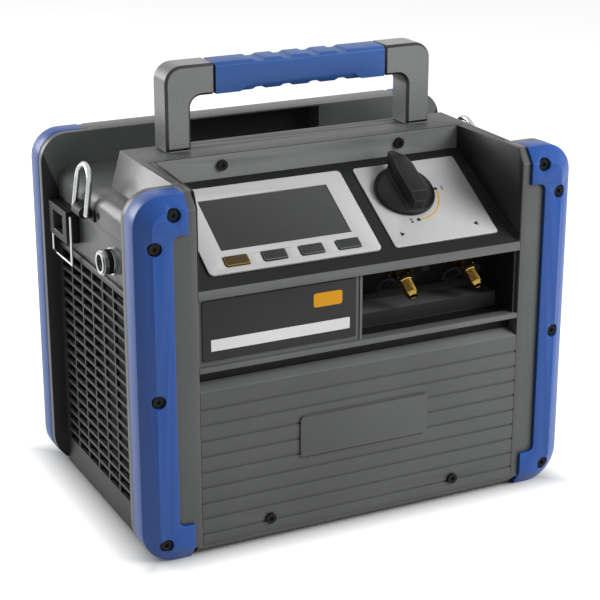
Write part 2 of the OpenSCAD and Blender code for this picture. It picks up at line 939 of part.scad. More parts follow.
module display_screen() {
    frame = 2.5;
    depth = 3;
    glass_low = 0.9;
    color("#454647")
        on_panel(bezel_x, screen_top + screen_h / 2) {
            translate([-screen_w / 2 - frame, -screen_h / 2 - frame, -depth])
                cube([screen_w + 2 * frame, screen_h + 2 * frame, depth]);
            translate([-screen_w / 2 + seat_gap, -screen_h / 2 + seat_gap, -0.5])
                cube([screen_w - 2 * seat_gap, screen_h - 2 * seat_gap, bezel_t - glass_low + 0.5]);
        }
}

module display_board() {
    board_t = 1.6;
    color("#1f5c3a")
        on_panel(bezel_x, plate_top + bezel_h / 2) {
            translate([-bezel_w / 2 + 1, -bezel_h / 2 + 1, -12 - board_t])
                cube([bezel_w - 2, bezel_h - 2, board_t]);
            for (i = [-1.5 : 1.5])
                translate([i * key_pitch - 3, plate_top + bezel_h / 2 - key_u - 3, -12])
                    cube([6, 6, 3.5]);
        }
}

// Key: a cap in the display plate's window, with a stem down to its switch
module key(i) {
    gap = seat_gap;
    foot = -12 + 3.5 + key_travel + seat_gap;
    on_panel(bezel_x + (i - 1.5) * key_pitch, key_u) {
        translate([0, 0, -0.5])
            linear_extrude(bezel_t + key_proud + 0.5)
                rounded_rect(key_w - 2 * gap, key_h - 2 * gap, 1.5 - gap);
        translate([0, 0, foot])
            cylinder(r = 2.5, h = -foot);
    }
}

module key_1() {
    color("#d9a02c")
        key(0);
}

module key_2() {
    color("#4a4b4c")
        key(1);
}

module key_3() {
    color("#4a4b4c")
        key(2);
}

module key_4() {
    color("#4a4b4c")
        key(3);
}

module dial_plate() {
    mid = plate_top + bezel_h / 2;
    color("#b2b3b2")
        on_panel(dial_x, mid)
            linear_extrude(dial_t)
                difference() {
                    rounded_rect(dial_w, bezel_h, 2.5);
                    translate([knob_x - dial_x, mid - knob_u])
                        circle(stem_r + 4.2);
                }
}

// Pointer knob: a stepped skirt and a tapering grip that overhangs it at the pointer end
module selector_knob() {
    base = dial_t + 0.5;
    skirt_h = 6;
    tip = knob_r + 9.5;
    tail = knob_r - 1.5;
    half = 8.5;
    low = base + skirt_h;
    color("#1c1d1e")
        on_panel(knob_x, knob_u)
            difference() {
                union() {
                    rotate_extrude()
                        polygon([[0, base], [knob_r, base], [knob_r, low - 2], [knob_r - 1.5, low],
                            [knob_r - 6, low + 2], [0, low + 2]]);
                    intersection() {
                        translate([0, 0, low - 1])
                            linear_extrude(knob_h)
                                polygon([[-2.5, tip], [2.5, tip], [half, tip / 3], [half, -tail + 8],
                                    [half - 3, -tail], [3 - half, -tail], [-half, -tail + 8], [-half, tip / 3]]);
                        along_x(-half, half)
                            polygon([[-tail, low - 1], [-tail, knob_h - 6], [-tail + 7, knob_h],
                                [tip - 14, knob_h], [tip, knob_h - 7], [tip, low + 3], [tail, low - 1]]);
                    }
                }
                translate([0, 0, base - 1])
                    cylinder(r = stem_r + bore_gap, h = knob_h - base - 4);
            }
}

module selector_stem() {
    color("#c9cacb")
        on_panel(knob_x, knob_u)
            translate([0, 0, -stem_l])
                cylinder(r = stem_r, h = stem_l + knob_h - 6);
}

// Ball valve body that hangs under the panel on its threaded neck
module selector_valve() {
    neck_r = stem_r + 4;
    body_r = 15;
    body_h = 33.5;
    color("#b8924a")
        on_panel(knob_x, knob_u)
            difference() {
                union() {
                    translate([0, 0, -panel_t - body_h])
                        cylinder(r = body_r, h = body_h);
                    translate([0, 0, -panel_t - 1])
                        cylinder(r = neck_r, h = panel_t + dial_t + 1);
                    for (a = [0, 90, 180])
                        translate([0, 0, -panel_t - body_h / 2])
                            rotate([0, 0, a])
                                rotate([0, 90, 0])
                                    cylinder(r = 6, h = body_r + 8);
                }
                translate([0, 0, -stem_l - seat_gap])
                    cylinder(r = stem_r + bore_gap, h = 60);
            }
}

// Fitting bay: a folded wall with a slanted ceiling, a back, a shelf and the sill along the front
module fitting_bay() {
    t = bay_wall;
    low = sill_z - sill_h;
    lean = tan(90 - port_tilt);
    ceil_z = port_z + 0.04;
    ceil_y = port_y - (bay_top - ceil_z) / lean;
    ceil_low = ceil_z - (bay_back_y - port_y) * lean;
    back_rise = t * (1 - cos(port_tilt)) / sin(port_tilt);
    top_run = t * (1 - sin(port_tilt)) / cos(port_tilt);
    floor_z = sill_z - 2;
    fold = [
        [post_y + 8, bay_top], [ceil_y, bay_top], [bay_back_y, ceil_low], [bay_back_y, shelf_z],
        [shelf_y, shelf_z], [shelf_y, floor_z], [post_y + sill_d, floor_z], [post_y + sill_d, floor_z - t],
        [shelf_y + t, floor_z - t], [shelf_y + t, shelf_z - t], [bay_back_y + t, shelf_z - t],
        [bay_back_y + t, ceil_low + back_rise], [ceil_y + top_run, bay_top + t], [post_y + 8, bay_top + t]
    ];
    end_wall = [
        [post_y + 3, sill_z], [post_y + 3, bay_top], [ceil_y, bay_top], [bay_back_y, ceil_low],
        [bay_back_y, shelf_z - t], [shelf_y, shelf_z - t], [shelf_y, floor_z - t],
        [post_y + sill_d, floor_z - t], [post_y + sill_d, sill_z]
    ];
    color("#2f3131")
        difference() {
            union() {
                along_x(bay_x, bay_right)
                    polygon(fold);
                along_x(bay_x, bay_x + t)
                    polygon(end_wall);
                along_x(bay_right - t, bay_right)
                    polygon(end_wall);
                along_x(-panel_half, panel_half)
                    polygon([[post_y, low], [post_y, sill_z - 1], [post_y + 1, sill_z],
                        [post_y + sill_d, sill_z], [post_y + sill_d, low]]);
                translate([-panel_half, label_y + label_t, sill_z - 1])
                    cube([panel_half + bay_x + 1, t, bay_top - sill_z + 1]);
                translate([-panel_half, post_y + lower_brow_d, lower_panel_top - 2 * wall])
                    cube([2 * panel_half, t, low + sill_h - 2 - lower_panel_top + 2 * wall]);
                translate([-panel_half, post_y + sill_d - 1, low])
                    cube([2 * panel_half, lower_brow_d - sill_d + t + 1, sill_h - 2]);
            }
            for (i = [0, 1])
                on_port(port_x + i * port_pitch)
                    translate([0, 0, -t - 3])
                        cylinder(r = 6 + seat_gap, h = t + 6);
            on_port(relief_x)
                translate([0, relief_up, -t - 3])
                    cylinder(r = 3 + bore_gap, h = t + 6);
        }
}

module label_plate() {
    x0 = -panel_half + 4;
    x1 = bay_x - 3.5;
    z0 = sill_z + 4;
    z1 = bay_top - 2;
    rim = 1.5;
    color("#282a2a")
        along_y(label_y, label_y + label_t)
            translate([(x0 + x1) / 2, (z0 + z1) / 2])
                rounded_rect(x1 - x0, z1 - z0, rim);
}

// Brass flare port: tail, hexagon, neck, thread and flare cone, drilled through
module flare_port(x) {
    hex_h = 10.5;
    neck_h = 2;
    cone_h = 2.6;
    tail_l = 14;
    washer_h = 1.5;
    thread_z = washer_h + hex_h + neck_h;
    on_port(x)
        difference() {
            union() {
                translate([0, 0, -tail_l])
                    cylinder(r = 6, h = tail_l + 1);
                cylinder(r = port_hex / 2 + 2.5, h = washer_h);
                intersection() {
                    translate([0, 0, washer_h])
                        cylinder(r = port_hex / 2 / cos(30), h = hex_h, $fn = 6);
                    translate([0, 0, washer_h])
                        cylinder(r1 = port_hex / 2 + 2, r2 = port_hex / 2 + 0.3, h = hex_h);
                }
                translate([0, 0, washer_h + hex_h - 1])
                    cylinder(r = port_r + 0.8, h = neck_h + 1);
                translate([0, 0, thread_z])
                    cylinder(r = port_r, h = port_l);
                translate([0, 0, thread_z + port_l])
                    cylinder(r1 = port_r, r2 = port_r - cone_h * 0.6, h = cone_h);
            }
            translate([0, 0, -tail_l - 1])
                cylinder(r = port_bore, h = tail_l + thread_z + port_l + cone_h + 2);
        }
}

module inlet_port() {
    color("#c9a14a")
        flare_port(port_x);
}

module outlet_port() {
    color("#c9a14a")
        flare_port(port_x + port_pitch);
}

// Flat cap tethers, each with an eye at its side
module port_tethers() {
    reach = 19;
    strip = 1.4;
    eye_r = 9;
    color("#191a1b")
        for (i = [0, 1])
            on_port(port_x + i * port_pitch)
                translate([0, 0, 12])
                    linear_extrude(strip)
                        difference() {
                            union() {
                                circle(port_r + 4);
                                translate([-reach, 0])
                                    circle(eye_r);
                                translate([-reach, -3])
                                    square([reach, 6]);
                            }
                            circle(port_r + 0.8 + seat_gap);
                            translate([-reach, 0])
                                circle(eye_r - 2.6);
                        }
}

// Bar behind the bay's ceiling that the ports screw into
module port_manifold() {
    color("#9da0a3")
        difference() {
            on_port(0)
                translate([manifold_x0, -manifold_down, -bay_wall - 0.1 - manifold_deep])
                    cube([manifold_x1 - manifold_x0, manifold_up + manifold_down, manifold_deep]);
            for (i = [0, 1])
                on_port(port_x + i * port_pitch)
                    translate([0, 0, -bay_wall - 13])
                        cylinder(r = 6 + bore_gap, h = 14);
            on_port(relief_x)
                translate([0, relief_up, -bay_wall - 9])
                    cylinder(r = 3 + bore_gap, h = 10);
        }
}

module relief_cap() {
    color("#1a1b1c")
        on_port(relief_x)
            translate([0, relief_up, 0]) {
                translate([0, 0, -bay_wall - 8])
                    cylinder(r = 3, h = bay_wall + 9);
                cylinder(r = 5, h = 9);
                translate([0, 0, 9])
                    cylinder(r1 = 5, r2 = 3.6, h = 2.5);
            }
}

// Grooved cover under the sill, with a sloping brow along its top
module lower_panel() {
    brow_z = lower_panel_top - lower_brow;
    first = lower_low + 10.4;
    color("#5f6161")
        difference() {
            union() {
                grooved_shell(lower_low, brow_z, panel_half, first, lower_brow);
                along_x(-panel_half, panel_half)
                    polygon([[post_y, brow_z], [post_y + lower_brow_d, lower_panel_top],
                        [post_y + lower_brow_d, lower_panel_top - wall], [post_y + wall, brow_z - wall]]);
                both_sides()
                    translate([panel_half - wall, post_y + wall, lower_low])
                        cube([wall, 10, brow_z - lower_low - wall]);
            }
            for (sx = [-1, 1])
                translate([sx * cover_screw_x, post_y - 1, lower_low + cover_screw_up])
                    rotate([-90, 0, 0])
                        cylinder(r = screw_shank_r + bore_gap, h = wall + 2);
        }
}

module blank_plate() {
    t = 2;
    edge = 1;
    color("#6d6f6f")
        translate([0, post_y, plate_z])
            rotate([90, 0, 0])
                intersection() {
                    linear_extrude(t)
                        rounded_rect(plate_w, plate_h, 5);
                    rotate([90, 0, 90])
                        translate([0, 0, -plate_w / 2])
                            linear_extrude(plate_w)
                                polygon([[-plate_h / 2, 0], [plate_h / 2, 0], [plate_h / 2, t - edge],
                                    [plate_h / 2 - edge, t], [edge - plate_h / 2, t], [-plate_h / 2, t - edge]]);
                }
}

// Clip of a strap ring: a screwed plate with a saddle for the ring's foot
module strap_base() {
    saddle_w = strap_w - 2 * strap_wire_r - 6;
    saddle_r = strap_wire_r + 2.4;
    plate_l = strap_w + 14;
    pin_gap = 0.1;
    screw_y = plate_l / 2 - 4;
    difference() {
        union() {
            translate([core_half, strap_y - plate_l / 2, strap_z - 5])
                cube([strap_plate_t, plate_l, 10]);
            translate([core_half, strap_y - saddle_w / 2, strap_z - saddle_r])
                cube([strap_x - core_half, saddle_w, 2 * saddle_r]);
            translate([strap_x, strap_y - saddle_w / 2, strap_z])
                rotate([-90, 0, 0])
                    cylinder(r = saddle_r, h = saddle_w);
        }
        translate([strap_x, strap_y - saddle_w, strap_z])
            rotate([-90, 0, 0])
                cylinder(r = strap_wire_r + pin_gap, h = 2 * saddle_w);
        for (sy = [-1, 1])
            translate([core_half - 1, strap_y + sy * screw_y, strap_z])
                rotate([0, 90, 0])
                    cylinder(r = 2, h = strap_plate_t + 2);
    }
}

module strap_base_right() {
    color("#1b1c1d")
        strap_base();
}

module strap_base_left() {
    color("#1b1c1d")
        mirror([1, 0, 0])
            strap_base();
}

// Strap ring: a closed wire loop with a straight foot, leaning over the shoulder at rest
module strap_ring() {
    r = strap_w / 2;
    bend = strap_h - r;
    translate([strap_x, strap_y, strap_z])
        rotate([0, -strap_lean, 0]) {
            translate([0, -r, 0])
                rotate([-90, 0, 0])
                    cylinder(r = strap_wire_r, h = 2 * r);
            for (sy = [-1, 1]) {
                translate([0, sy * r, 0])
                    cylinder(r = strap_wire_r, h = bend);
                translate([0, sy * r, 0])
                    sphere(strap_wire_r);
            }
            translate([0, 0, bend])
                rotate([90, 0, 90])
                    rotate_extrude(angle = 180)
                        translate([r, 0])
                            circle(strap_wire_r);
        }
}

module strap_ring_right() {
    color("#d5d7d9")
        strap_ring();
}

module strap_ring_left() {
    color("#d5d7d9")
        mirror([1, 0, 0])
            strap_ring();
}

// Mains inlet block with a recessed three pin socket and pivots for its bail
module power_inlet() {
    x0 = -side_half - inlet_proud;
    sock_l = 25;
    sock_h = 17;
    sock_d = 14;
    pin_l = 8;
    color("#161718")
        difference() {
            union() {
                translate([x0, inlet_y - inlet_l / 2, inlet_z - inlet_h / 2])
                    cube([inlet_proud, inlet_l, inlet_h]);
                translate([-side_half, inlet_y - sock_l / 2 - 1.5, inlet_z - sock_h / 2 - 1])
                    cube([8, sock_l + 3, sock_h + 2]);
            }
            translate([x0 - 1, inlet_y - sock_l / 2, inlet_z - sock_h / 2])
                cube([sock_d + 1, sock_l, sock_h]);
            translate([-bail_x, inlet_y - inlet_l, bail_z])
                rotate([-90, 0, 0])
                    cylinder(r = bail_wire_r + 0.1, h = 2 * inlet_l);
        }
    color("#c9a24a")
        for (p = [[-7, -2], [0, 2], [7, -2]])
            translate([x0 + sock_d - pin_l, inlet_y + p[0] - 1, inlet_z + p[1] - 2])
                cube([pin_l + 1, 2, 4]);
}

// Wire bail that swings over the plug: two legs with inturned feet and a cross wire
module inlet_bail() {
    leg_y = inlet_l / 2 + bail_wire_r + 0.5;
    foot = 4;
    color("#d5d7d9")
        translate([-bail_x, inlet_y, bail_z]) {
            for (sy = [-1, 1]) {
                translate([0, sy * leg_y, -bail_reach])
                    cylinder(r = bail_wire_r, h = bail_reach);
                translate([0, sy * leg_y, 0])
                    sphere(bail_wire_r);
                translate([0, sy * leg_y, -bail_reach])
                    sphere(bail_wire_r);
                translate([0, sy * leg_y, 0])
                    rotate([90 * sy, 0, 0])
                        cylinder(r = bail_wire_r, h = foot);
            }
            translate([0, -leg_y, -bail_reach])
                rotate([-90, 0, 0])
                    cylinder(r = bail_wire_r, h = 2 * leg_y);
        }
}

// Round panel socket for the tank's float switch lead
module float_socket() {
    color("#cfd1d3")
        translate([-side_half, socket_y, socket_z])
            rotate([0, -90, 0])
                difference() {
                    union() {
                        cylinder(r = socket_r + 2, h = 2);
                        cylinder(r = socket_r, h = socket_l);
                        translate([0, 0, socket_l - 4])
                            cylinder(r = socket_r + 0.8, h = 2.4);
                        translate([0, 0, -wall - 6])
                            cylinder(r = socket_r - 1.8, h = wall + 7);
                    }
                    difference() {
                        translate([0, 0, socket_l - 9])
                            cylinder(r = socket_r - 2.5, h = 10);
                        for (a = [0, 90, 180, 270])
                            rotate([0, 0, a])
                                translate([3.4, 0, 0])
                                    cylinder(r = 0.8, h = socket_l - 4);
                    }
                }
}

// Crankcase between the two opposed cylinders
module crankcase() {
    r = crank_r;
    color("#a9acae")
        difference() {
            union() {
                translate([crank_x0, 0, shaft_z])
                    rotate([0, 90, 0])
                        cylinder(r = r, h = motor_x0 - crank_x0);
                translate([crank_x0, -barrel_y, shaft_z - 30])
                    cube([motor_x0 - crank_x0, 2 * barrel_y, 60]);
                translate([crank_x0, -r, pan_floor + 16])
                    cube([motor_x0 - crank_x0, 2 * r, shaft_z - 30 - pan_floor - 16 + 1]);
                translate([crank_x0 - 6, 0, shaft_z])
                    rotate([0, 90, 0])
                        cylinder(r = 22, h = 7);
            }
            for (i = [-2 : 2])
                translate([crank_x0 - 1, i * 14 - 2, shaft_z + r - 6])
                    cube([motor_x0 - crank_x0 + 2, 4, 12]);
        }
}

// One finned cylinder with its head, standing out along Y
module cylinder_barrel() {
    mid = (crank_x0 + motor_x0) / 2;
    fin_half = 28;
    translate([mid, barrel_y, shaft_z])
        rotate([-90, 0, 0]) {
            cylinder(r = 22, h = fin_n * fin_pitch + 2);
            for (i = [0 : fin_n - 1])
                translate([0, 0, 2 + i * fin_pitch])
                    linear_extrude(2)
                        rounded_rect(2 * fin_half, 2 * fin_half, 6);
            translate([0, 0, fin_n * fin_pitch + 2])
                linear_extrude(head_l)
                    rounded_rect(2 * fin_half - 4, 2 * fin_half - 4, 8);
        }
}

module rear_cylinder() {
    color("#8f9295")
        cylinder_barrel();
}

module front_cylinder() {
    color("#8f9295")
        mirror([0, 1, 0])
            cylinder_barrel();
}

module drive_motor() {
    rib = 24;
    color("#3c3e40")
        difference() {
            union() {
                translate([motor_x0, 0, shaft_z])
                    rotate([0, 90, 0])
                        cylinder(r = motor_r, h = motor_x1 - motor_x0);
                translate([motor_x0 + 10, -36, pan_floor + 16])
                    cube([motor_x1 - motor_x0 - 20, 72, shaft_z - motor_r * 0.75 - pan_floor - 16]);
            }
            translate([0, 0, shaft_z])
                for (i = [0 : rib - 1])
                    rotate([i * 360 / rib, 0, 0])
                        translate([motor_x0 + 8, -1.5, motor_r - 2.5])
                            cube([motor_x1 - motor_x0 - 16, 3, 6]);
        }
}

// Rubber blocks between the machine set and the base pan
module motor_mounts() {
    color("#1d1e1f")
        for (x = [crank_x0 + 12, motor_x1 - 22], y = [-28, 28])
            translate([x, y, pan_floor])
                cylinder(r = 10, h = 16);
}

// Coil block with fins across the airflow and return bends at its ends
module condenser_coil() {
    half = coil_half;
    slits = 40;
    low = pan_floor;
    high = shroud_top();
    pitch = 2 * half / slits;
    color("#a8703f")
        for (z = [low + 24 : 24 : high - 10], x = [coil_x0 + 8, coil_x1 - 8])
            translate([x, -half - 6, z])
                rotate([-90, 0, 0])
                    cylinder(r = 4, h = 2 * half + 12);
    color("#b9bcbe")
        difference() {
            translate([coil_x0, -half, low])
                cube([coil_x1 - coil_x0, 2 * half, high - low]);
            for (i = [0 : slits - 1], x = [coil_x0 - 1, coil_x1 - 4])
                translate([x, -half + (i + 0.25) * pitch, low + 6])
                    cube([5, pitch / 2, high - low - 12]);
        }
}

function shroud_top() = fan_z + fan_r + 10;

// Shroud: a plate with the fan's throat, and three arms that carry the fan motor
module fan_shroud() {
    half = coil_half;
    throat = fan_r + 2.5;
    arm_x = fan_x0 - 10;
    color("#2a2b2c")
        difference() {
            union() {
                translate([coil_x0 - shroud_t, -half, pan_floor])
                    cube([shroud_t, 2 * half, shroud_top() - pan_floor]);
                translate([arm_x, 0, fan_z])
                    rotate([0, 90, 0])
                        cylinder(r = throat + 3, h = coil_x0 - arm_x - 1);
            }
            difference() {
                translate([arm_x - 1, 0, fan_z])
                    rotate([0, 90, 0])
                        cylinder(r = throat, h = coil_x0 - arm_x + 4);
                translate([arm_x, 0, fan_z])
                    rotate([0, 90, 0])
                        cylinder(r = 24, h = 4);
                for (a = [0, 120, 240])
                    translate([arm_x, 0, fan_z])
                        rotate([a, 0, 0])
                            translate([0, -5, 0])
                                cube([4, 10, throat + 1]);
            }
            translate([arm_x - 1, 0, fan_z])
                rotate([0, 90, 0])
                    cylinder(r = 6, h = 6);
        }
}

module fan_motor() {
    color("#4a4c4e")
        difference() {
            union() {
                translate([motor_x1 + 4, 0, fan_z])
                    rotate([0, 90, 0])
                        cylinder(r = 20, h = fan_x0 - 10 - motor_x1 - 4);
                translate([fan_x0 - 11, 0, fan_z])
                    rotate([0, 90, 0])
                        cylinder(r = 5.5, h = 6);
            }
            translate([motor_x1 + 8, 0, fan_z])
                rotate([0, 90, 0])
                    cylinder(r = 2.5 + bore_gap, h = 60);
        }
}

// Fan: a hub with pitched blades, trimmed to the throat
module fan_rotor() {
    pitch_a = 32;
    color("#202122") {
        translate([fan_x0, 0, fan_z])
            rotate([0, 90, 0])
                cylinder(r = 22, h = fan_w);
        translate([motor_x1 + 10, 0, fan_z])
            rotate([0, 90, 0])
                cylinder(r = 2.5, h = fan_x0 - motor_x1 - 9);
        intersection() {
            translate([fan_x0, 0, fan_z])
                rotate([0, 90, 0])
                    cylinder(r = fan_r, h = fan_w);
            for (i = [0 : fan_blades - 1])
                translate([fan_x0 + fan_w / 2, 0, fan_z])
                    rotate([i * 360 / fan_blades, 0, 0])
                        rotate([0, 0, pitch_a])
                            translate([-1, -24, 18])
                                cube([2, 48, fan_r]);
        }
    }
}

// Folded sheet that carries the control board on the left
module board_bracket() {
    half = board_half + board_edge;
    foot = 24;
    pillar = 6;
    color("#26282a") {
        translate([bracket_x, -half, pan_floor])
            cube([board_t, 2 * half, board_low + board_h + board_edge - pan_floor]);
        translate([bracket_x, -half, pan_floor])
            cube([foot, 2 * half, board_t]);
        for (sy = [-1, 1], z = [board_low + pillar, board_low + board_h - pillar])
            translate([bracket_x + board_t, sy * (board_half - pillar), z])
                rotate([0, 90, 0])
                    cylinder(r = 3, h = board_post);
    }
}

module control_board() {
    x = bracket_x + board_t + board_post;
    face = x + board_t;
    sink_w = 46;
    sink_h = 90;
    fin_gap = 6;
    can_r = 12;
    can_l = 30;
    color("#1f5c3a")
        translate([x, -board_half, board_low])
            cube([board_t, 2 * board_half, board_h]);
    color("#303234") {
        for (i = [-1 : 1])
            translate([face, board_half - 2 * can_r - 2, board_low + board_h / 2 + 2 + i * 32])
                rotate([0, 90, 0])
                    cylinder(r = can_r, h = can_l);
        difference() {
            translate([face, 10 - board_half, board_low + 20])
                cube([24, sink_w, sink_h]);
            for (i = [0 : 6])
                translate([face + fin_gap + 0.4, 13 - board_half + i * fin_gap, board_low + 19])
                    cube([20, fin_gap / 2, sink_h + 2]);
        }
    }
}

// A straight length of pipe with a round end, from p to q
module pipe(p, q) {
    d = q - p;
    l = norm(d);
    translate(p)
        rotate([0, acos(d[2] / l), atan2(d[1], d[0])])
            cylinder(r = pipe_r, h = l);
}

// Suction line from the manifold to the front head, and discharge line from the rear head to the coil
module pipework() {
    mid = (crank_x0 + motor_x0) / 2;
    head = head_y;
    lane = head + 11;
    high = shroud_top() + 6;
    coil_x = (coil_x0 + coil_x1) / 2;
    line_up = 11;
    line_in = -13;
    man_y = port_y - line_up * sin(port_tilt) - line_in * cos(port_tilt);
    man_z = port_z + line_up * cos(port_tilt) - line_in * sin(port_tilt);
    suction = [[manifold_x0, man_y, man_z], [mid, man_y, man_z], [mid, man_y, shaft_z], [mid, -head, shaft_z]];
    discharge = [[mid, head, shaft_z], [mid, lane, shaft_z], [mid, lane, high], [coil_x, lane, high],
        [coil_x, head, high], [coil_x, head, shroud_top()]];
    color("#b8713f")
        for (run = [suction, discharge]) {
            for (i = [0 : len(run) - 2])
                pipe(run[i], run[i + 1]);
            for (i = [1 : len(run) - 2])
                translate(run[i])
                    sphere(pipe_r);
        }
}

// A screw with its head towards -Y, the seat at the origin
module screw(head_h) {
    rotate([90, 0, 0])
        difference() {
            cylinder(r = screw_head_r, h = head_h);
            translate([0, 0, head_h - 1.6])
                cylinder(r = 2, h = 2, $fn = 6);
        }
    rotate([-90, 0, 0])
        cylinder(r = screw_shank_r, h = screw_shank_l);
}

module bumper_screws() {
    color("#17181a")
        for (my = [0, 1])
            mirror([0, my, 0])
                both_sides()
                    for (s = screw_spots)
                        translate([half_w - s[0], face_y, s[1]])
                            screw(screw_head_h);
}

module panel_screws() {
    low = rail_top + seat_gap;
    high = seam_z + 5 - seat_gap;
    color("#17181a") {
        for (sx = [-1, 1])
            translate([sx * cover_screw_x, post_y, lower_low + cover_screw_up])
                screw(2);
        mirror([0, 1, 0])
            for (sx = [-1, 1], z = [low + 10, high - 10])
                translate([sx * (panel_half - 12), post_y, z])
                    screw(2);
    }
}

module deck_screws() {
    color("#17181a") {
        for (sx = [-1, 1])
            translate([sx * lip_screw_x, lip_y, deck_z - lip_screw_drop])
                screw(2.4);
        for (sx = [-1, 1], dy = [-7, 7])
            translate([sx * leg_x, handle_mid_y + dy, deck_z - wall])
                rotate([90, 0, 0])
                    screw(3);
    }
}

front_frame();
front_bumper_left();
front_bumper_right();
rear_frame();
rear_bumper_left();
rear_bumper_right();
rear_panel();
base_pan();
side_wall_left();
side_wall_right();
side_grille_left();
side_grille_right();
top_cover();
handle_frame();
handle_grip();
control_panel();
display_bezel();
display_screen();
display_board();
key_1();
key_2();
key_3();
key_4();
dial_plate();
selector_knob();
selector_stem();
selector_valve();
fitting_bay();
label_plate();
inlet_port();
outlet_port();
port_tethers();
port_manifold();
relief_cap();
lower_panel();
blank_plate();
strap_base_left();
strap_base_right();
strap_ring_left();
strap_ring_right();
power_inlet();
inlet_bail();
float_socket();
crankcase();
front_cylinder();
rear_cylinder();
drive_motor();
motor_mounts();
condenser_coil();
fan_shroud();
fan_motor();
fan_rotor();
pipework();
control_board();
board_bracket();
bumper_screws();
panel_screws();
deck_screws();
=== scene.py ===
import json
import math

import bpy
from mathutils import Matrix, Vector

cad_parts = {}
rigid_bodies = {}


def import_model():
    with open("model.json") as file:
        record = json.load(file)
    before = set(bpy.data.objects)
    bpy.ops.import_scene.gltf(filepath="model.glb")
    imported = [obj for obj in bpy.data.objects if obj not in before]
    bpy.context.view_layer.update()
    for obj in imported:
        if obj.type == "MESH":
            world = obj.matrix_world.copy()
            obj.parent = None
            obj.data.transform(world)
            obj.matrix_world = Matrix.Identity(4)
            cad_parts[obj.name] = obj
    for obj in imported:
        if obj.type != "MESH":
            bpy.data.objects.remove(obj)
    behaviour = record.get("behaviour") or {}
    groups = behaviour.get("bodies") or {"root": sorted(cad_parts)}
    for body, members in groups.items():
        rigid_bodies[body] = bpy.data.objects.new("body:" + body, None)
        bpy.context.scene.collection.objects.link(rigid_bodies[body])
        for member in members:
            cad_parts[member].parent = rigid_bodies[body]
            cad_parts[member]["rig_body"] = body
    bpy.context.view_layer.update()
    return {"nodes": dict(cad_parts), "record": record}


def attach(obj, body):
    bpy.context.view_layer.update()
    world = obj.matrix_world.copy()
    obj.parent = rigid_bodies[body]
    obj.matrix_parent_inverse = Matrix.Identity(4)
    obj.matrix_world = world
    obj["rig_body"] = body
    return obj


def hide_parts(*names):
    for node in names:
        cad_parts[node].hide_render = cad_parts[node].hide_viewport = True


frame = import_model()
nodes = frame["nodes"]
slot_of = {row["node"]: row["material_slot"] for row in frame["record"]["subparts"]}

# Camera: about 1.6 m away and a little above the machine, on its front and left side.
camera_data = bpy.data.cameras.new("camera")
camera_data.sensor_width = 36
camera_data.lens = 105.38
camera = bpy.data.objects.new("camera", camera_data)
camera.location = (-0.6512, -1.3280, 0.6857)
camera.rotation_euler = (math.radians(70.47), 0, math.radians(-26.24))
bpy.context.scene.collection.objects.link(camera)
bpy.context.scene.camera = camera
bpy.context.scene.view_settings.view_transform = "Standard"


# Studio: pale seamless paper under the machine, in a plain room that reads white, with soft boxes
# behind its left side, above its front and overhead. The lift that makes the paper white fades out near
# the machine's feet, a painted shadow under and round the machine.
def linear(hex_colour):
    """An sRGB hex colour as linear red, green, blue and alpha."""
    channels = [int(hex_colour[i : i + 2], 16) / 255 for i in (1, 3, 5)]
    return [c / 12.92 if c <= 0.04045 else ((c + 0.055) / 1.055) ** 2.4 for c in channels] + [1]


def node_tree(owner):
    """The emptied node tree of a material or a world."""
    owner.use_nodes = True
    owner.node_tree.nodes.clear()
    return owner.node_tree


def add_node(tree, kind, settings={}, values={}, links={}):
    """Adds a node with its settings, its socket values, and its links as socket: (node, output)."""
    made = tree.nodes.new(kind)
    for key, value in settings.items():
        setattr(made, key, value)
    for socket, value in values.items():
        made.inputs[socket].default_value = value
    for socket, (source, output) in links.items():
        tree.links.new(source.outputs[output], made.inputs[socket])
    return made


def greater(tree, first, second):
    """The greater of two outputs."""
    return add_node(tree, "ShaderNodeMath", {"operation": "MAXIMUM"}, links={0: first, 1: second})


def mottle(tree, scale, detail):
    """Noise in an object's own coordinates, with scale as its waves to the metre."""
    coordinates = add_node(tree, "ShaderNodeTexCoord")
    return add_node(
        tree,
        "ShaderNodeTexNoise",
        values={"Scale": scale, "Detail": detail},
        links={"Vector": (coordinates, "Object")},
    )


def ranged(tree, source, low, high, new_low=0.0, new_high=1.0):
    """An output's stretch from low to high, laid on another stretch."""
    return add_node(
        tree,
        "ShaderNodeMapRange",
        values={"From Min": low, "From Max": high, "To Min": new_low, "To Max": new_high},
        links={"Value": source},
    )


def blended(tree, colour, other, factor):
    """A colour that runs from one hex colour to another with an output."""
    return add_node(
        tree,
        "ShaderNodeMix",
        {"data_type": "RGBA"},
        {"A": linear(colour), "B": linear(other)},
        {"Factor": factor},
    )


def seen_as(tree, plain, backdrop):
    """A shader that is the backdrop to the camera, to reflections and through clear parts, and else plain."""
    rays = add_node(tree, "ShaderNodeLightPath")
    direct = greater(tree, (rays, "Is Camera Ray"), (rays, "Is Glossy Ray"))
    seen = greater(tree, (direct, 0), (rays, "Is Transmission Ray"))
    return add_node(
        tree, "ShaderNodeMixShader", links={0: (seen, 0), 1: (plain, 0), 2: (backdrop, 0)}
    )


machine_half = (0.185, 0.12, 0)
painted_shadow_ramp = 0.03
paper_lift = 0.74
bpy.ops.object.select_all(action="DESELECT")
bpy.ops.mesh.primitive_plane_add(size=12)
floor = bpy.context.object
floor.name = "floor"
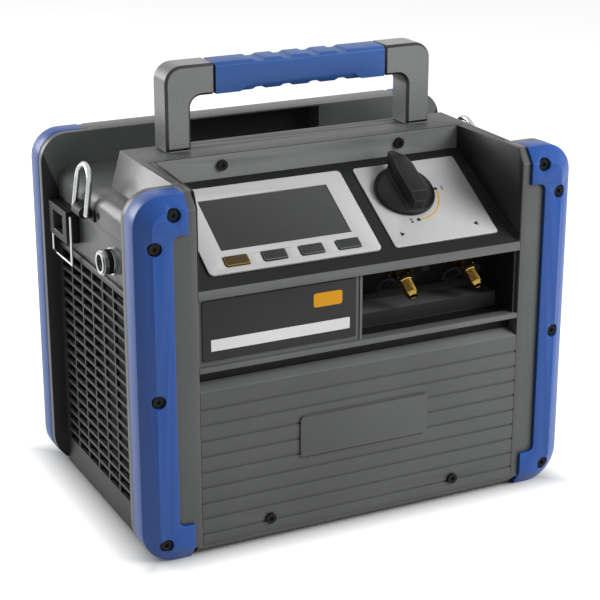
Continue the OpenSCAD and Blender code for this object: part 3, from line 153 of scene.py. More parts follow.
# Seamless paper: white and matt to the eye, with a faint fibre.
paper = bpy.data.materials.new("seamless_paper")
tree = node_tree(paper)
fibre = mottle(tree, scale=40.0, detail=2.0)
shade = blended(tree, "#c2c2c1", "#c8c8c7", (fibre, "Fac"))
matt = add_node(tree, "ShaderNodeBsdfDiffuse", links={"Color": (shade, "Result")})
coordinates = add_node(tree, "ShaderNodeTexCoord")
outward = add_node(
    tree, "ShaderNodeVectorMath", {"operation": "ABSOLUTE"}, links={0: (coordinates, "Object")}
)
past_feet = add_node(
    tree, "ShaderNodeVectorMath", {"operation": "SUBTRACT"}, {1: machine_half}, {0: (outward, "Vector")}
)
axes = add_node(tree, "ShaderNodeSeparateXYZ", links={0: (past_feet, "Vector")})
reach = greater(tree, (axes, "X"), (axes, "Y"))
# The paper's lift ramps up from nothing at the machine's feet: a painted shadow under and round it.
level = ranged(tree, (reach, 0), low=0.0, high=painted_shadow_ramp, new_high=paper_lift)
lift = add_node(tree, "ShaderNodeEmission", links={"Strength": (level, 0)})
lifted = add_node(tree, "ShaderNodeAddShader", links={0: (matt, 0), 1: (lift, 0)})
add_node(tree, "ShaderNodeOutputMaterial", links={"Surface": (seen_as(tree, matt, lifted), 0)})
floor.data.materials.append(paper)

room = bpy.data.worlds.new("studio_room")
bpy.context.scene.world = room
tree = node_tree(room)
walls = add_node(tree, "ShaderNodeBackground", values={"Color": linear("#b4b6b8"), "Strength": 0.35})
backdrop = add_node(tree, "ShaderNodeBackground", values={"Color": (1, 1, 1, 1), "Strength": 1.0})
add_node(tree, "ShaderNodeOutputWorld", links={"Surface": (seen_as(tree, walls, backdrop), 0)})

# Each soft box: its name, place, size in metres, power in watts, and whether glossy parts mirror it.
soft_boxes = [
    ("left_box", (-1.5, 1.6, 1.0), 1.3, 44, True),
    ("front_box", (1.3, -1.4, 1.35), 1.2, 52, False),
    ("top_box", (0.0, 0.2, 2.1), 1.2, 4, False),
]
aim = Vector((0, 0, 0.2))
for name, spot, size, power, mirrored in soft_boxes:
    lamp_data = bpy.data.lights.new(name, "AREA")
    lamp_data.size = size
    lamp_data.energy = power
    lamp = bpy.data.objects.new(name, lamp_data)
    lamp.location = spot
    lamp.visible_glossy = mirrored
    lamp.rotation_euler = (aim - Vector(spot)).to_track_quat("-Z", "Y").to_euler()
    bpy.context.scene.collection.objects.link(lamp)


# End frames: two grey ABS mouldings that carry the covers, with hollow posts and a rail along the ground.
# The mould was spark eroded; the edges are drawn paler, rubbed and in part a painted highlight.
def plastic(name, colour, other, roughness, grain_mm=1.0, depth_mm=0.01, gloss=0.5):
    """Moulded plastic: a slow drift of tone, and a spark-eroded grain that breaks up the sheen.
    The real grain is about 0.3 mm; it is drawn coarser so that it shows."""
    material = bpy.data.materials.new(name)
    tree = node_tree(material)
    grain = mottle(tree, scale=1000 / grain_mm, detail=2.0)
    drift = mottle(tree, scale=14.0, detail=5.0)
    tone = ranged(tree, (drift, "Fac"), low=0.35, high=0.7)
    tint = blended(tree, colour, other, (tone, 0))
    sheen = ranged(
        tree, (grain, "Fac"), low=0.3, high=0.7, new_low=roughness - 0.04, new_high=roughness + 0.06
    )
    bump = add_node(
        tree,
        "ShaderNodeBump",
        values={"Strength": 0.3, "Distance": depth_mm / 1000},
        links={"Height": (grain, "Fac")},
    )
    skin = add_node(
        tree,
        "ShaderNodeBsdfPrincipled",
        values={"Specular IOR Level": gloss},
        links={"Base Color": (tint, "Result"), "Roughness": (sheen, 0), "Normal": (bump, 0)},
    )
    add_node(tree, "ShaderNodeOutputMaterial", links={"Surface": (skin, 0)})
    return material


def pick(piece):
    """Makes a piece the active one, and the only one selected."""
    bpy.ops.object.select_all(action="DESELECT")
    piece.select_set(True)
    bpy.context.view_layer.objects.active = piece


def merged_copy(node, materials):
    """A copy of a solid with its triangles joined into whole faces."""
    piece = bpy.data.objects.new(node + "_moulding", nodes[node].data.copy())
    bpy.context.scene.collection.objects.link(piece)
    pick(piece)
    bpy.ops.mesh.customdata_custom_splitnormals_clear()
    piece.data.materials.clear()
    for material in materials:
        piece.data.materials.append(material)
    bpy.ops.object.mode_set(mode="EDIT")
    bpy.ops.mesh.select_all(action="SELECT")
    bpy.ops.mesh.remove_doubles(threshold=0.00001)
    bpy.ops.mesh.dissolve_limited(angle_limit=math.radians(0.4))
    bpy.ops.object.mode_set(mode="OBJECT")
    return piece


def stand_in(piece, node):
    """Puts a finished piece in a solid's place."""
    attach(piece, nodes[node]["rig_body"])
    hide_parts(node)


def moulding(node, face, edge, radius_mm):
    """A merged copy of a solid with rounded edges in a second finish, which stands in the solid's place.
    Where that finish is paler, it is rubbing and in part a painted highlight.
    """
    piece = merged_copy(node, [face, edge])
    rounding = piece.modifiers.new("rounding", "BEVEL")
    rounding.limit_method = "ANGLE"
    rounding.angle_limit = math.radians(33)
    rounding.width = radius_mm / 1000
    rounding.segments = 2
    rounding.material = 1
    rounding.use_clamp_overlap = False
    bpy.ops.object.modifier_apply(modifier="rounding")
    bpy.ops.object.shade_smooth_by_angle(angle=math.radians(38))
    stand_in(piece, node)
    return piece


def repaint(piece, material, chosen):
    """Gives the chosen faces of a piece a material of their own."""
    piece.data.materials.append(material)
    for face in piece.data.polygons:
        if chosen(face):
            face.material_index = len(piece.data.materials) - 1


# Satin grey ABS: even and slightly soft in its highlights, with paler edges, rubbed and in part a painted
# highlight. The rear frame's inner faces beside the grilles and in its pocket are matt, and painted nearly
# black as painted shade.
frame_abs = plastic("frame_abs", "#494a4a", "#505151", 0.36)
# A paler copy of the grey for the edges: rubbing, and in part a painted highlight.
frame_edge_rubbed_highlight = plastic("frame_abs_rubbed_highlight", "#63625f", "#6d6b67", 0.3)
frame_abs_painted_shade = plastic("frame_abs_inside_painted_shade", "#191a1a", "#1e1f1f", 0.5, gloss=0.25)
moulding("front_frame", frame_abs, frame_edge_rubbed_highlight, radius_mm=0.4)
rear_piece = moulding("rear_frame", frame_abs, frame_edge_rubbed_highlight, radius_mm=0.4)
# The painted shade ends at a slanting line on each side: a point on it, and its normal in X and Z.
shade_edge_x, shade_edge_z = 0.1965, 0.300
shade_edge_normal_x, shade_edge_normal_z = 0.038, 0.0125
pocket_front, pocket_back = 0.115, 0.122
bpy.ops.object.mode_set(mode="EDIT")
for side in (-1, 1):
    bpy.ops.mesh.select_all(action="SELECT")
    bpy.ops.mesh.bisect(
        plane_co=(side * shade_edge_x, 0, shade_edge_z), plane_no=(-side * shade_edge_normal_x, 0, shade_edge_normal_z)
    )
bpy.ops.object.mode_set(mode="OBJECT")


def in_painted_shade(face):
    """Whether a face of the rear frame is one of the matt inner ones that are painted dark as shade."""
    across = (shade_edge_x - abs(face.center.x)) * shade_edge_normal_x
    beside = across + (face.center.z - shade_edge_z) * shade_edge_normal_z < 0
    in_pocket = pocket_front < face.center.y < pocket_back
    return (beside or in_pocket) and face.normal.y < -0.9


# The inner faces beside the grilles and in the pocket are painted near black: painted shade.
repaint(rear_piece, frame_abs_painted_shade, in_painted_shade)

# Corner bumpers: four mouldings of toughened polyamide, screwed over the frames' corners.
# Deep blue with a greyish sheen where they are seen along the surface, and paler edges: scuffed, and in part
# a painted highlight.
bumper_polyamide = plastic("bumper_polyamide", "#1c4a94", "#1f4e9a", 0.36, gloss=0.42)
bumper_edge_rubbed_highlight = plastic("bumper_polyamide_rubbed_highlight", "#2c56a0", "#355ea6", 0.32, gloss=0.35)
for node in ("front_bumper_left", "front_bumper_right", "rear_bumper_left", "rear_bumper_right"):
    moulding(node, bumper_polyamide, bumper_edge_rubbed_highlight, radius_mm=0.6)


# Screws: steel socket heads in the bumpers, the covers and the deck's lip.
# Black oxide leaves them nearly lightless, with a dull film of oil.
def paint(node, material):
    """Gives a solid whose shape is right its finish."""
    nodes[node].data.materials.clear()
    nodes[node].data.materials.append(material)


black_oxide = plastic("black_oxide", "#060708", "#0b0c0d", 0.5, grain_mm=0.8, gloss=0.2)
for node in ("bumper_screws", "panel_screws", "deck_screws"):
    paint(node, black_oxide)


# Housing: the grey top cover with its raised deck, and the plain walls above the grilles.
# Glossier than the frames, so that the shoulders and the deck's ends shine where they face the light.
# The deck's top is duller and painted darker, as painted shade, and its lip's front face is painted paler,
# as painted light; a dark parting line runs between them. The edges are paler: rubbed, and in part a
# painted highlight.
def turned(name, profile, steps=48, angle=math.tau):
    """A turned piece: a half profile of (radius, height) in mm, drawn point by point and spun about Z."""
    bpy.ops.object.select_all(action="DESELECT")
    bpy.ops.mesh.primitive_plane_add(size=0.001)
    piece = bpy.context.object
    piece.name = name
    bpy.ops.object.mode_set(mode="EDIT")
    bpy.ops.mesh.select_mode(type="VERT")
    bpy.ops.mesh.select_all(action="SELECT")
    bpy.ops.mesh.merge(type="CENTER")
    bpy.ops.transform.translate(value=(profile[0][0] / 1000, 0, profile[0][1] / 1000))
    for (r0, z0), (r1, z1) in zip(profile, profile[1:]):
        step = ((r1 - r0) / 1000, 0, (z1 - z0) / 1000)
        bpy.ops.mesh.extrude_region_move(TRANSFORM_OT_translate={"value": step})
    bpy.ops.mesh.select_all(action="SELECT")
    bpy.ops.mesh.spin(steps=steps, angle=angle, center=(0, 0, 0), axis=(0, 0, 1))
    bpy.ops.mesh.select_all(action="SELECT")
    bpy.ops.mesh.remove_doubles(threshold=0.000005)
    bpy.ops.mesh.fill_holes(sides=8)
    bpy.ops.mesh.select_all(action="SELECT")
    bpy.ops.mesh.normals_make_consistent(inside=False)
    bpy.ops.object.mode_set(mode="OBJECT")
    bpy.ops.object.shade_smooth_by_angle(angle=math.radians(30))
    return piece


def rotation(degrees, axis):
    """A turn about one axis."""
    return Matrix.Rotation(math.radians(degrees), 4, axis)


def set_at(piece, place):
    """Moves a piece that was made at the origin to its place, and leaves the place in its mesh."""
    pick(piece)
    piece.matrix_world = place
    bpy.ops.object.transform_apply()


def fixed(piece, material):
    """A small part that is fixed to the machine."""
    piece.data.materials.clear()
    piece.data.materials.append(material)
    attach(piece, "machine")


housing_abs = plastic("housing_abs", "#5e5f5f", "#656666", 0.3, depth_mm=0.004, gloss=0.32)
housing_edge_rubbed_highlight = plastic("housing_abs_rubbed_highlight", "#6c6d6c", "#757674", 0.28, depth_mm=0.004, gloss=0.4)
seam_shade = plastic("seam_shade", "#070808", "#0b0c0c", 0.6, gloss=0.1)
deck_matt_painted_shade = plastic("deck_abs_matt_painted_shade", "#535454", "#595a5a", 0.45, gloss=0.12)
lip_abs_painted_light = plastic("deck_lip_abs_painted_light", "#6c6d6d", "#737474", 0.32, gloss=0.32)
top_piece = moulding("top_cover", housing_abs, housing_edge_rubbed_highlight, radius_mm=0.9)
lip_half_width, lip_front, lip_back = 0.1495, -0.0306, -0.0294
seam_low, deck_low = 0.3114, 0.3100


def on_lip(face):
    """Whether a face of the top cover is on the deck's front lip."""
    return abs(face.center.x) < lip_half_width and lip_front < face.center.y < lip_back


def on_seam(face):
    """Whether a face of the top cover is on the edge where the lip meets the deck's top."""
    return on_lip(face) and face.center.z > seam_low


def on_deck(face):
    """Whether a face of the top cover is on the deck's top."""
    return face.normal.z > 0.95 and face.center.z > deck_low and not on_seam(face)


# The deck's top gets a darker copy of the grey (painted shade), the lip's front face a paler one (painted
# light).
repaint(top_piece, seam_shade, on_seam)
repaint(top_piece, deck_matt_painted_shade, on_deck)
repaint(top_piece, lip_abs_painted_light, lambda face: on_lip(face) and face.normal.y < -0.9 and not on_seam(face))
for node in ("side_wall_left", "side_wall_right"):
    moulding(node, housing_abs, housing_edge_rubbed_highlight, radius_mm=0.3)
plug_profile = [(0, 0), (3.4, 0), (3.4, 0.5), (2.9, 0.9), (1.6, 0.9), (1.6, 0.4), (0, 0.4)]
plug_x, plug_y, plug_z = 0.18502, -0.0038, 0.2655
for side, sign in (("left", -1), ("right", 1)):
    plug = turned("shoulder_plug_" + side, plug_profile)
    set_at(plug, Matrix.Translation((sign * plug_x, plug_y, plug_z)) @ rotation(sign * 90, "Y"))
    fixed(plug, black_oxide)

# Side grilles: thin ABS mouldings pierced by rows of slots, with a raised rim along the top.
# Dark grey with a dull grain, which lets the slots read black.
grille_abs = plastic("grille_abs", "#2f3030", "#353636", 0.42, gloss=0.25)
for node in ("side_grille_left", "side_grille_right"):
    paint(node, grille_abs)

# Covers: the grooved panels at the front and the back, and a raised plate on the front one, all held by
# black screws. The same grey as the frames, with a finer grain and paler edges (rubbed, and in part painted
# highlight); the front brow is painted paler, a painted highlight.
cover_abs = plastic("cover_abs", "#474848", "#4d4e4e", 0.38, grain_mm=0.9)
cover_edge_rubbed_highlight = plastic("cover_abs_rubbed_highlight", "#4c4d4d", "#545555", 0.34, grain_mm=0.9)
cover_brow_painted_highlight = plastic("cover_abs_brow_painted_highlight", "#6b6c6c", "#717272", 0.36, grain_mm=0.9)
brow_low, brow_high = 0.1455, 0.1512
moulding("rear_panel", cover_abs, cover_edge_rubbed_highlight, radius_mm=0.35)
lower_cover = moulding("lower_panel", cover_abs, cover_edge_rubbed_highlight, radius_mm=0.35)
# The brow's faces get a paler copy of the grey: a painted highlight.
repaint(lower_cover, cover_brow_painted_highlight, lambda face: face.normal.z > 0.6 and brow_low < face.center.z < brow_high)
moulding("blank_plate", cover_abs, cover_edge_rubbed_highlight, radius_mm=0.5)

# Base pan: a pressed steel tray under the machine set.
# Powder coated black, with the orange peel that such a coat has.
powder_coat = plastic("powder_coat", "#1b1c1d", "#212223", 0.5, grain_mm=2.0, depth_mm=0.05, gloss=0.3)
paint("base_pan", powder_coat)

# Handle: a grey ABS arch screwed down through the deck, its edges broken by a wide chamfer painted dark,
# a painted shade.
# It stands on small plinths, which keep their sharp edges and leave a dark line under its feet.
handle_abs = plastic("handle_abs", "#717272", "#787979", 0.28, depth_mm=0.004, gloss=0.4)
handle_chamfer_painted_shade = plastic("handle_abs_chamfer_painted_shade", "#232424", "#292a2a", 0.4)
handle = merged_copy("handle_frame", [handle_abs, handle_chamfer_painted_shade])
chamfer = 0.0022
plinth_top = nodes["handle_frame"].bound_box[0][2] + 0.004
bpy.ops.object.mode_set(mode="EDIT")
bpy.ops.mesh.select_mode(type="EDGE")
bpy.ops.mesh.select_all(action="DESELECT")
bpy.ops.mesh.edges_select_sharp(sharpness=math.radians(33))
bpy.ops.object.mode_set(mode="OBJECT")
for edge in handle.data.edges:
    if max(handle.data.vertices[v].co.z for v in edge.vertices) < plinth_top:
        edge.select = False
bpy.ops.object.mode_set(mode="EDIT")
# The chamfer's faces take the dark second material: painted shade.
bpy.ops.mesh.bevel(offset=chamfer, segments=1, clamp_overlap=False, material=1)
bpy.ops.object.mode_set(mode="OBJECT")
bpy.ops.object.shade_smooth_by_angle(angle=math.radians(38))
stand_in(handle, "handle_frame")

# Grip: a soft sleeve moulded round the handle's bar, with notches above and below for the fingers.
# Blue elastomer, duller than the bumpers, with paler edges: rubbed, and in part a painted highlight.
grip_elastomer = plastic("grip_elastomer", "#274e8c", "#2b5392", 0.44, grain_mm=0.9, depth_mm=0.02)
grip_edge_rubbed_highlight = plastic("grip_elastomer_rubbed_highlight", "#315898", "#3a609e", 0.4, grain_mm=0.9, depth_mm=0.02)
moulding("handle_grip", grip_elastomer, grip_edge_rubbed_highlight, radius_mm=0.6)

# Control panel: a dark sloping moulding between the posts. Its ledge is bare grey plastic, as the sill is.
# Black ABS with a matt grain that keeps reflections low, and paler edges: rubbed, and in part a painted
# highlight.
panel_abs = plastic("panel_abs", "#121313", "#171818", 0.4, grain_mm=0.9, gloss=0.25)
panel_edge_rubbed_highlight = plastic("panel_abs_rubbed_highlight", "#292b2b", "#323434", 0.36, grain_mm=0.9, gloss=0.3)
panel_piece = moulding("control_panel", panel_abs, panel_edge_rubbed_highlight, radius_mm=0.3)
ledge_top, ledge_back = 0.2321, -0.1288
bpy.ops.object.mode_set(mode="EDIT")
bpy.ops.mesh.select_all(action="SELECT")
bpy.ops.mesh.bisect(plane_co=(0, 0, ledge_top), plane_no=(0, 0, 1))
bpy.ops.object.mode_set(mode="OBJECT")


def on_ledge(face):
    """Whether a face of the panel is on the front of its ledge."""
    return face.normal.y < -0.7 and face.center.y < ledge_back and face.center.z < ledge_top


repaint(panel_piece, housing_abs, on_ledge)


# Display: a silver plate of lacquered plastic with a tinted window and four dark keys.
# The lacquer is fine and even; the window is smooth, with a painted reflection that pales it slowly on a
# slant.
def film(name, colour, other, roughness, gloss=0.3):
    """Lacquer or printed film: plastic with a fine, shallow grain."""
    return plastic(name, colour, other, roughness, grain_mm=0.8, depth_mm=0.006, gloss=gloss)


plate_lacquer = film("plate_lacquer", "#bebebd", "#c3c3c2", 0.34, gloss=0.4)
plate_edge = film("plate_lacquer_edge", "#c6c6c5", "#cccccb", 0.32, gloss=0.4)
key_film = film("key_film", "#2b2c2d", "#313233", 0.4)
key_edge = film("key_film_edge", "#5f6061", "#68696a", 0.36)
amber_film = film("amber_film", "#3a2c10", "#423315", 0.4)
amber_edge = film("amber_film_edge", "#8a6a22", "#94732a", 0.36)
moulding("display_bezel", plate_lacquer, plate_edge, radius_mm=0.4)
moulding("key_1", amber_film, amber_edge, radius_mm=0.6)
for node in ("key_2", "key_3", "key_4"):
    moulding(node, key_film, key_edge, radius_mm=0.6)

# Screen glass: dark and smooth, with a painted reflection that makes it a little paler towards its upper
# right corner.
reflection_slant_along = (14.0, 0.0, 22.0)
reflection_low, reflection_high = 4.3, 5.9
screen_glass = bpy.data.materials.new("screen_glass")
tree = node_tree(screen_glass)
coordinates = add_node(tree, "ShaderNodeTexCoord")
painted_reflection_slant = add_node(
    tree, "ShaderNodeVectorMath", {"operation": "DOT_PRODUCT"}, {1: reflection_slant_along}, {0: (coordinates, "Object")}
)
reflection_band = ranged(tree, (painted_reflection_slant, "Value"), reflection_low, reflection_high)
tone = blended(tree, "#272829", "#3b3c3d", (reflection_band, 0))
skin = add_node(
    tree,
    "ShaderNodeBsdfPrincipled",
    values={"Roughness": 0.16, "Specular IOR Level": 0.35},
    links={"Base Color": (tone, "Result")},
)
add_node(tree, "ShaderNodeOutputMaterial", links={"Surface": (skin, 0)})
paint("display_screen", screen_glass)

# Selector: a silver dial plate printed with a yellow arc, stops, figures and two marks, and a pointer knob
# on a steel stem. The knob is black glass-filled nylon, dull, with paler ridges: worn, and in part a painted
# highlight.
dial_lacquer = film("dial_lacquer", "#b9b9b9", "#bebebe", 0.34, gloss=0.4)
knob_nylon = plastic("knob_nylon", "#0c0d0e", "#121314", 0.36, grain_mm=0.9, gloss=0.25)
knob_edge_rubbed_highlight = plastic("knob_nylon_rubbed_highlight", "#1d1e1f", "#252627", 0.32, grain_mm=0.9, gloss=0.3)
moulding("dial_plate", dial_lacquer, plate_edge, radius_mm=0.4)
moulding("selector_knob", knob_nylon, knob_edge_rubbed_highlight, radius_mm=0.9)
paint("selector_stem", black_oxide)
lip_foot_y, lip_foot_z = -0.0304, 0.292
panel_slope = math.atan2(60, 99.1)
plate_mm = 1.6


def on_panel(piece, x_mm, down_mm, up_mm=plate_mm):
    """Lays a flat piece on the sloping panel: sideways, down the slope from its lip, and up from its face."""
    lip_foot = Matrix.Translation((x_mm / 1000, lip_foot_y, lip_foot_z))
    slope = lip_foot @ Matrix.Rotation(panel_slope, 4, "X")
    set_at(piece, slope @ Matrix.Translation((0, -down_mm / 1000, up_mm / 1000)))


def thicken(height_mm):
    """Gives the flat piece that is being edited its thickness, and ends the editing."""
    bpy.ops.mesh.select_all(action="SELECT")
    bpy.ops.mesh.extrude_region_move(TRANSFORM_OT_translate={"value": (0, 0, height_mm / 1000)})
    bpy.ops.mesh.select_all(action="SELECT")
    bpy.ops.mesh.normals_make_consistent(inside=False)
    bpy.ops.object.mode_set(mode="OBJECT")


yellow_ink = plastic("yellow_ink", "#cf9a1c", "#d8a526", 0.45, grain_mm=0.8, depth_mm=0.004, gloss=0.3)
black_ink = plastic("black_ink", "#1a1b1c", "#212223", 0.45, grain_mm=0.8, depth_mm=0.004, gloss=0.3)
ink_mm = 0.12
knob_x, knob_down = 67.5, 45.5
arc_in, arc_out = 30.9, 32.2
stop_r = 31.5
arc_profile = [(arc_in, 0), (arc_out, 0), (arc_out, ink_mm), (arc_in, ink_mm), (arc_in, 0)]
arc = turned("dial_arc", arc_profile, 24, math.radians(90))
on_panel(arc, knob_x, knob_down)
fixed(arc, yellow_ink)
stop_profile = [(0, 0), (1.7, 0), (1.7, ink_mm), (1.5, ink_mm + 0.08), (0, ink_mm + 0.08)]
stops = [("dial_stop_0", 0, -stop_r), ("dial_stop_1", stop_r, 0), ("dial_stop_2", 0, stop_r)]
for name, across, down in stops:
    stop = turned(name, stop_profile, 24)
    on_panel(stop, knob_x + across, knob_down + down)
    fixed(stop, black_ink)
figure_size = 0.0065
figure_drop_mm = 2.2
figure_swell = 0.00012
for figure, across, down in (("0", 4.5, -stop_r), ("1", 36.0, 0.0), ("2", -8.5, stop_r)):
    bpy.ops.object.select_all(action="DESELECT")
    bpy.ops.object.text_add()
    mark = bpy.context.object
    mark.name = "dial_figure_" + figure
    mark.data.body = figure
    mark.data.size = figure_size
    mark.data.extrude = ink_mm / 2000
    mark.data.offset = figure_swell
    bpy.ops.object.convert(target="MESH")
    on_panel(mark, knob_x + across, knob_down + down + figure_drop_mm, plate_mm + ink_mm / 2)
    fixed(mark, black_ink)
mark_r = 0.0028
mark_down = 90.0
for name, across, turn in (("inlet_mark", -22.0, -90), ("outlet_mark", 50.0, 90)):
    bpy.ops.object.select_all(action="DESELECT")
    bpy.ops.mesh.primitive_circle_add(vertices=3, radius=mark_r, fill_type="NGON")
    mark = bpy.context.object
    mark.name = name
    bpy.ops.object.mode_set(mode="EDIT")
    thicken(ink_mm)
    set_at(mark, rotation(turn, "Z"))
    on_panel(mark, knob_x + across, mark_down)
    fixed(mark, black_ink)

# Fitting bay: the dark recess under the panel with its grey sill, and the label plate beside it, left bare.
# The recess is the panel's black ABS, with its shelf's top painted grey as painted light; the label is a
# matt film with a white and an amber field.
bay_abs = plastic("bay_abs", "#141515", "#191a1a", 0.42, grain_mm=0.9, gloss=0.25)
bay_shelf_painted_light = plastic("bay_abs_shelf_painted_light", "#505151", "#575858", 0.42, grain_mm=0.9, gloss=0.25)
# Its edges take the panel's paler edge finish: rubbed, and in part a painted highlight.
bay_piece = moulding("fitting_bay", bay_abs, panel_edge_rubbed_highlight, radius_mm=0.4)
sill_low, sill_high, sill_back = 0.1615, 0.1676, -0.1170
border_back = -0.1240
shelf_low, shelf_high = 0.1775, 0.1785


def on_surround(face):
    """Whether a face of the bay is on its sill, or on the border round the label plate."""
    sill = sill_low < face.center.z < sill_high and face.center.y < sill_back
    border = face.normal.y < -0.9 and face.center.y < border_back and face.center.x < 0
    return sill or border


repaint(bay_piece, housing_abs, on_surround)
# The shelf's top gets a grey copy of the black: painted light where it faces up.
repaint(bay_piece, bay_shelf_painted_light, lambda face: face.normal.z > 0.9 and shelf_low < face.center.z < shelf_high)
label_film = film("label_film", "#1b1c1c", "#202121", 0.45)
# Its edges take the panel's paler edge finish: rubbed, and in part a painted highlight.
moulding("label_plate", label_film, panel_edge_rubbed_highlight, radius_mm=0.3)
white_film = film("white_film", "#d9d9d8", "#dfdfde", 0.45)
amber_print = film("amber_print", "#d08f12", "#d8981b", 0.45)
# Each field: its name, its span in X and in Z, its corner radius, all in mm, and its film.
fields = [
    ("label_strip", -138.0, -13.5, 179.2, 189.0, 0.6, white_film),
    ("label_tag", -46.8, -20.6, 202.0, 214.0, 2.2, amber_print),
]
label_y = -0.12701
field_mm = 0.15
for name, x0, x1, z0, z1, corner_mm, print_film in fields:
    bpy.ops.object.select_all(action="DESELECT")
    bpy.ops.mesh.primitive_plane_add(size=1)
    field = bpy.context.object
    field.name = name
    bpy.ops.object.mode_set(mode="EDIT")
    bpy.ops.mesh.select_all(action="SELECT")
    bpy.ops.transform.resize(value=((x1 - x0) / 1000, (z1 - z0) / 1000, 1))
    bpy.ops.mesh.bevel(offset=corner_mm / 1000, segments=4, affect="VERTICES")
    thicken(field_mm)
    set_at(field, Matrix.Translation(((x0 + x1) / 2000, label_y, (z0 + z1) / 2000)) @ rotation(90, "X"))
    fixed(field, print_film)


# Ports: turned brass flare fittings with black rubber tethers, and a black cap on the relief valve.
# The hexagon is bar stock with its corners turned off, and the thread is cut up to the flare's cone.
def metal(name, colour, other, roughness, line_mm):
    """Turned or plated metal: bright, with a fine mottle that softens its highlights."""
    material = bpy.data.materials.new(name)
    tree = node_tree(material)
    lines = mottle(tree, scale=1000 / line_mm, detail=3.0)
    tint = blended(tree, colour, other, (lines, "Fac"))
    sheen = ranged(
        tree, (lines, "Fac"), low=0.0, high=1.0, new_low=roughness - 0.05, new_high=roughness + 0.08
    )
    skin = add_node(
        tree,
        "ShaderNodeBsdfPrincipled",
        values={"Metallic": 1.0},
        links={"Base Color": (tint, "Result"), "Roughness": (sheen, 0)},
    )
    add_node(tree, "ShaderNodeOutputMaterial", links={"Surface": (skin, 0)})
    return material


brass = metal("turned_brass", "#9c762b", "#d0b264", 0.12, line_mm=0.8)
crest_r, root_r, pitch = 5.55, 4.9, 1.25
crest_low, crest_high, flank_end = 0.45, 0.7, 1.15
thread_low, thread_turns = 14.4, 10
thread = []
for turn in range(thread_turns):
    z = thread_low + turn * pitch
    thread += [(root_r, z), (crest_r, z + crest_low), (crest_r, z + crest_high), (root_r, z + flank_end)]
body = [(2.4, -14), (6, -14), (6, 0), (11, 0), (11, 1.1), (10.6, 1.5), (6.35, 1.5), (6.35, 13.6), (5.9, 14)]
nose = [(5.2, 27), (3.99, 29.6), (2.6, 29.6), (2.4, 29.3), (2.4, -14)]
port = turned("inlet_port_turned", body + thread + nose)
half_flats = 0.0085
hexagon_low, hexagon_high = 0.0015, 0.012
bpy.ops.object.select_all(action="DESELECT")
bpy.ops.mesh.primitive_cylinder_add(
    vertices=6,
    radius=half_flats / math.cos(math.pi / 6),
    depth=hexagon_high - hexagon_low,
    location=(0, 0, (hexagon_low + hexagon_high) / 2),
)
hexagon = bpy.context.object
bpy.ops.object.transform_apply()
collar_profile = [(0, 1), (8.4, 1), (8.4, 1.5), (9.7, 2.3), (9.7, 11.2), (8.4, 12), (8.4, 13), (0, 13)]
collar = turned("hexagon_lathe", collar_profile)
turning = hexagon.modifiers.new("turning", "BOOLEAN")
turning.operation = "INTERSECT"
turning.object = collar
pick(hexagon)
bpy.ops.object.modifier_apply(modifier="turning")
bpy.ops.object.shade_smooth_by_angle(angle=math.radians(20))
bpy.data.objects.remove(collar)
port.select_set(True)
bpy.context.view_layer.objects.active = port
bpy.ops.object.join()
port_x, port_y, port_z = 0.0545, -0.089, 0.2085
port_lean = 125
port_spacing = 0.064
seat = Matrix.Translation((port_x, port_y, port_z)) @ rotation(port_lean, "X")
outlet = bpy.data.objects.new("outlet_port_turned", port.data.copy())
bpy.context.scene.collection.objects.link(outlet)
set_at(port, seat)
set_at(outlet, Matrix.Translation((port_spacing, 0, 0)) @ seat)
for piece, node in ((port, "inlet_port"), (outlet, "outlet_port")):
    piece.data.materials.clear()
    piece.data.materials.append(brass)
    stand_in(piece, node)
tether_rubber = plastic("tether_rubber", "#0b0c0d", "#101112", 0.55, grain_mm=0.8, depth_mm=0.03, gloss=0.3)
for node in ("port_tethers", "relief_cap"):
    paint(node, tether_rubber)

# Strap rings: chromed wire loops in black nylon clips on the shoulders.
# Chrome mirrors the white room, broken by the dark machine below.
chrome = metal("chrome_plate", "#b9bbbd", "#c9cbcc", 0.12, line_mm=1.5)
clip_nylon = plastic("clip_nylon", "#08090a", "#0d0e0f", 0.45, grain_mm=0.9, gloss=0.25)
for node in ("strap_ring_left", "strap_ring_right"):
    paint(node, chrome)
for node in ("strap_base_left", "strap_base_right"):
    paint(node, clip_nylon)

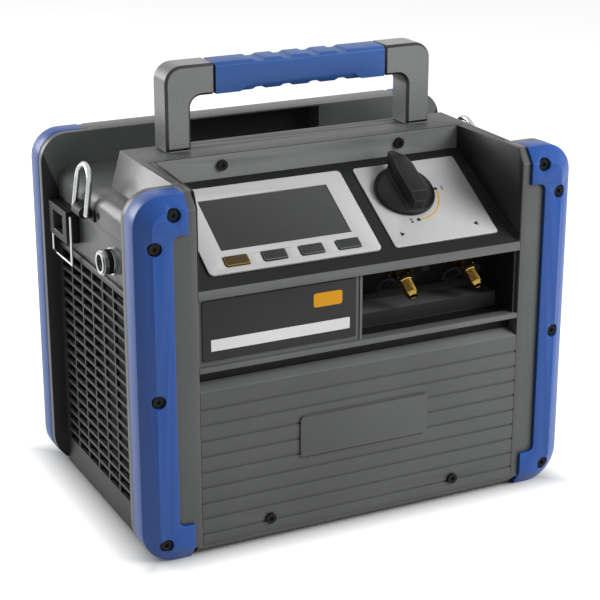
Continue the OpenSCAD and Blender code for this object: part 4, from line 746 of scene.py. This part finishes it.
# Mains inlet: a black nylon socket block with a bail of chromed wire, and the chromed socket of the
# float switch, which has a knurled black ring for the fingers.
# Its edges take the knob's paler edge finish: rubbed, and in part a painted highlight.
moulding("power_inlet", clip_nylon, knob_edge_rubbed_highlight, radius_mm=0.5)
for node in ("inlet_bail", "float_socket"):
    paint(node, chrome)
ring_sides = 72
ring_r, ring_width, ring_wall = 0.0104, 0.0042, 0.0004
groove = 0.96
socket_x, socket_y, socket_z = -0.1886, -0.034, 0.2347
bpy.ops.object.select_all(action="DESELECT")
bpy.ops.mesh.primitive_cylinder_add(
    vertices=ring_sides, radius=ring_r, depth=ring_width, end_fill_type="NOTHING"
)
ring = bpy.context.object
ring.name = "float_socket_ring"
bpy.ops.object.mode_set(mode="EDIT")
bpy.ops.mesh.select_mode(type="VERT")
bpy.ops.mesh.select_all(action="DESELECT")
bpy.ops.object.mode_set(mode="OBJECT")
for vertex in ring.data.vertices:
    turn = math.degrees(math.atan2(vertex.co.y, vertex.co.x))
    vertex.select = round(turn * ring_sides / 360) % 2 == 1
bpy.ops.object.mode_set(mode="EDIT")
bpy.ops.transform.resize(value=(groove, groove, 1), center_override=(0, 0, 0))
bpy.ops.mesh.select_all(action="SELECT")
bpy.ops.mesh.normals_make_consistent(inside=False)
bpy.ops.object.mode_set(mode="OBJECT")
rim = ring.modifiers.new("rim", "SOLIDIFY")
rim.thickness = ring_wall
rim.offset = -1
bpy.ops.object.modifier_apply(modifier="rim")
set_at(ring, Matrix.Translation((socket_x, socket_y, socket_z)) @ rotation(-90, "Y"))
fixed(ring, clip_nylon)

# Machine set: castings, motor, coil, fan, pipes and boards, seen only through the slots.
# Each keeps its own raw or painted finish, drawn darker as painted shade, so that the slots read black.
inside = {
    "cast_alloy": metal("cast_alloy", "#2c2d2e", "#353637", 0.5, line_mm=1.0),
    "motor_black": plastic("motor_enamel", "#121314", "#171819", 0.4, gloss=0.3),
    "coil_alloy": metal("coil_alloy", "#1e1f20", "#262728", 0.5, line_mm=0.8),
    "copper": metal("copper_pipe", "#5c3219", "#6b3d22", 0.35, line_mm=0.8),
    "fan_plastic": plastic("fan_plastic", "#0e0f10", "#131415", 0.45, gloss=0.3),
    "board_green": plastic("board_lacquer", "#0e2a1b", "#123220", 0.35, gloss=0.3),
    "sheet_black": powder_coat,
    "brass": brass,
    "tether_black": tether_rubber,
}
inner_nodes = (
    "crankcase front_cylinder rear_cylinder port_manifold drive_motor fan_motor condenser_coil pipework "
    "fan_shroud fan_rotor display_board control_board board_bracket selector_valve motor_mounts"
)
for node in inner_nodes.split():
    paint(node, inside[slot_of[node]])
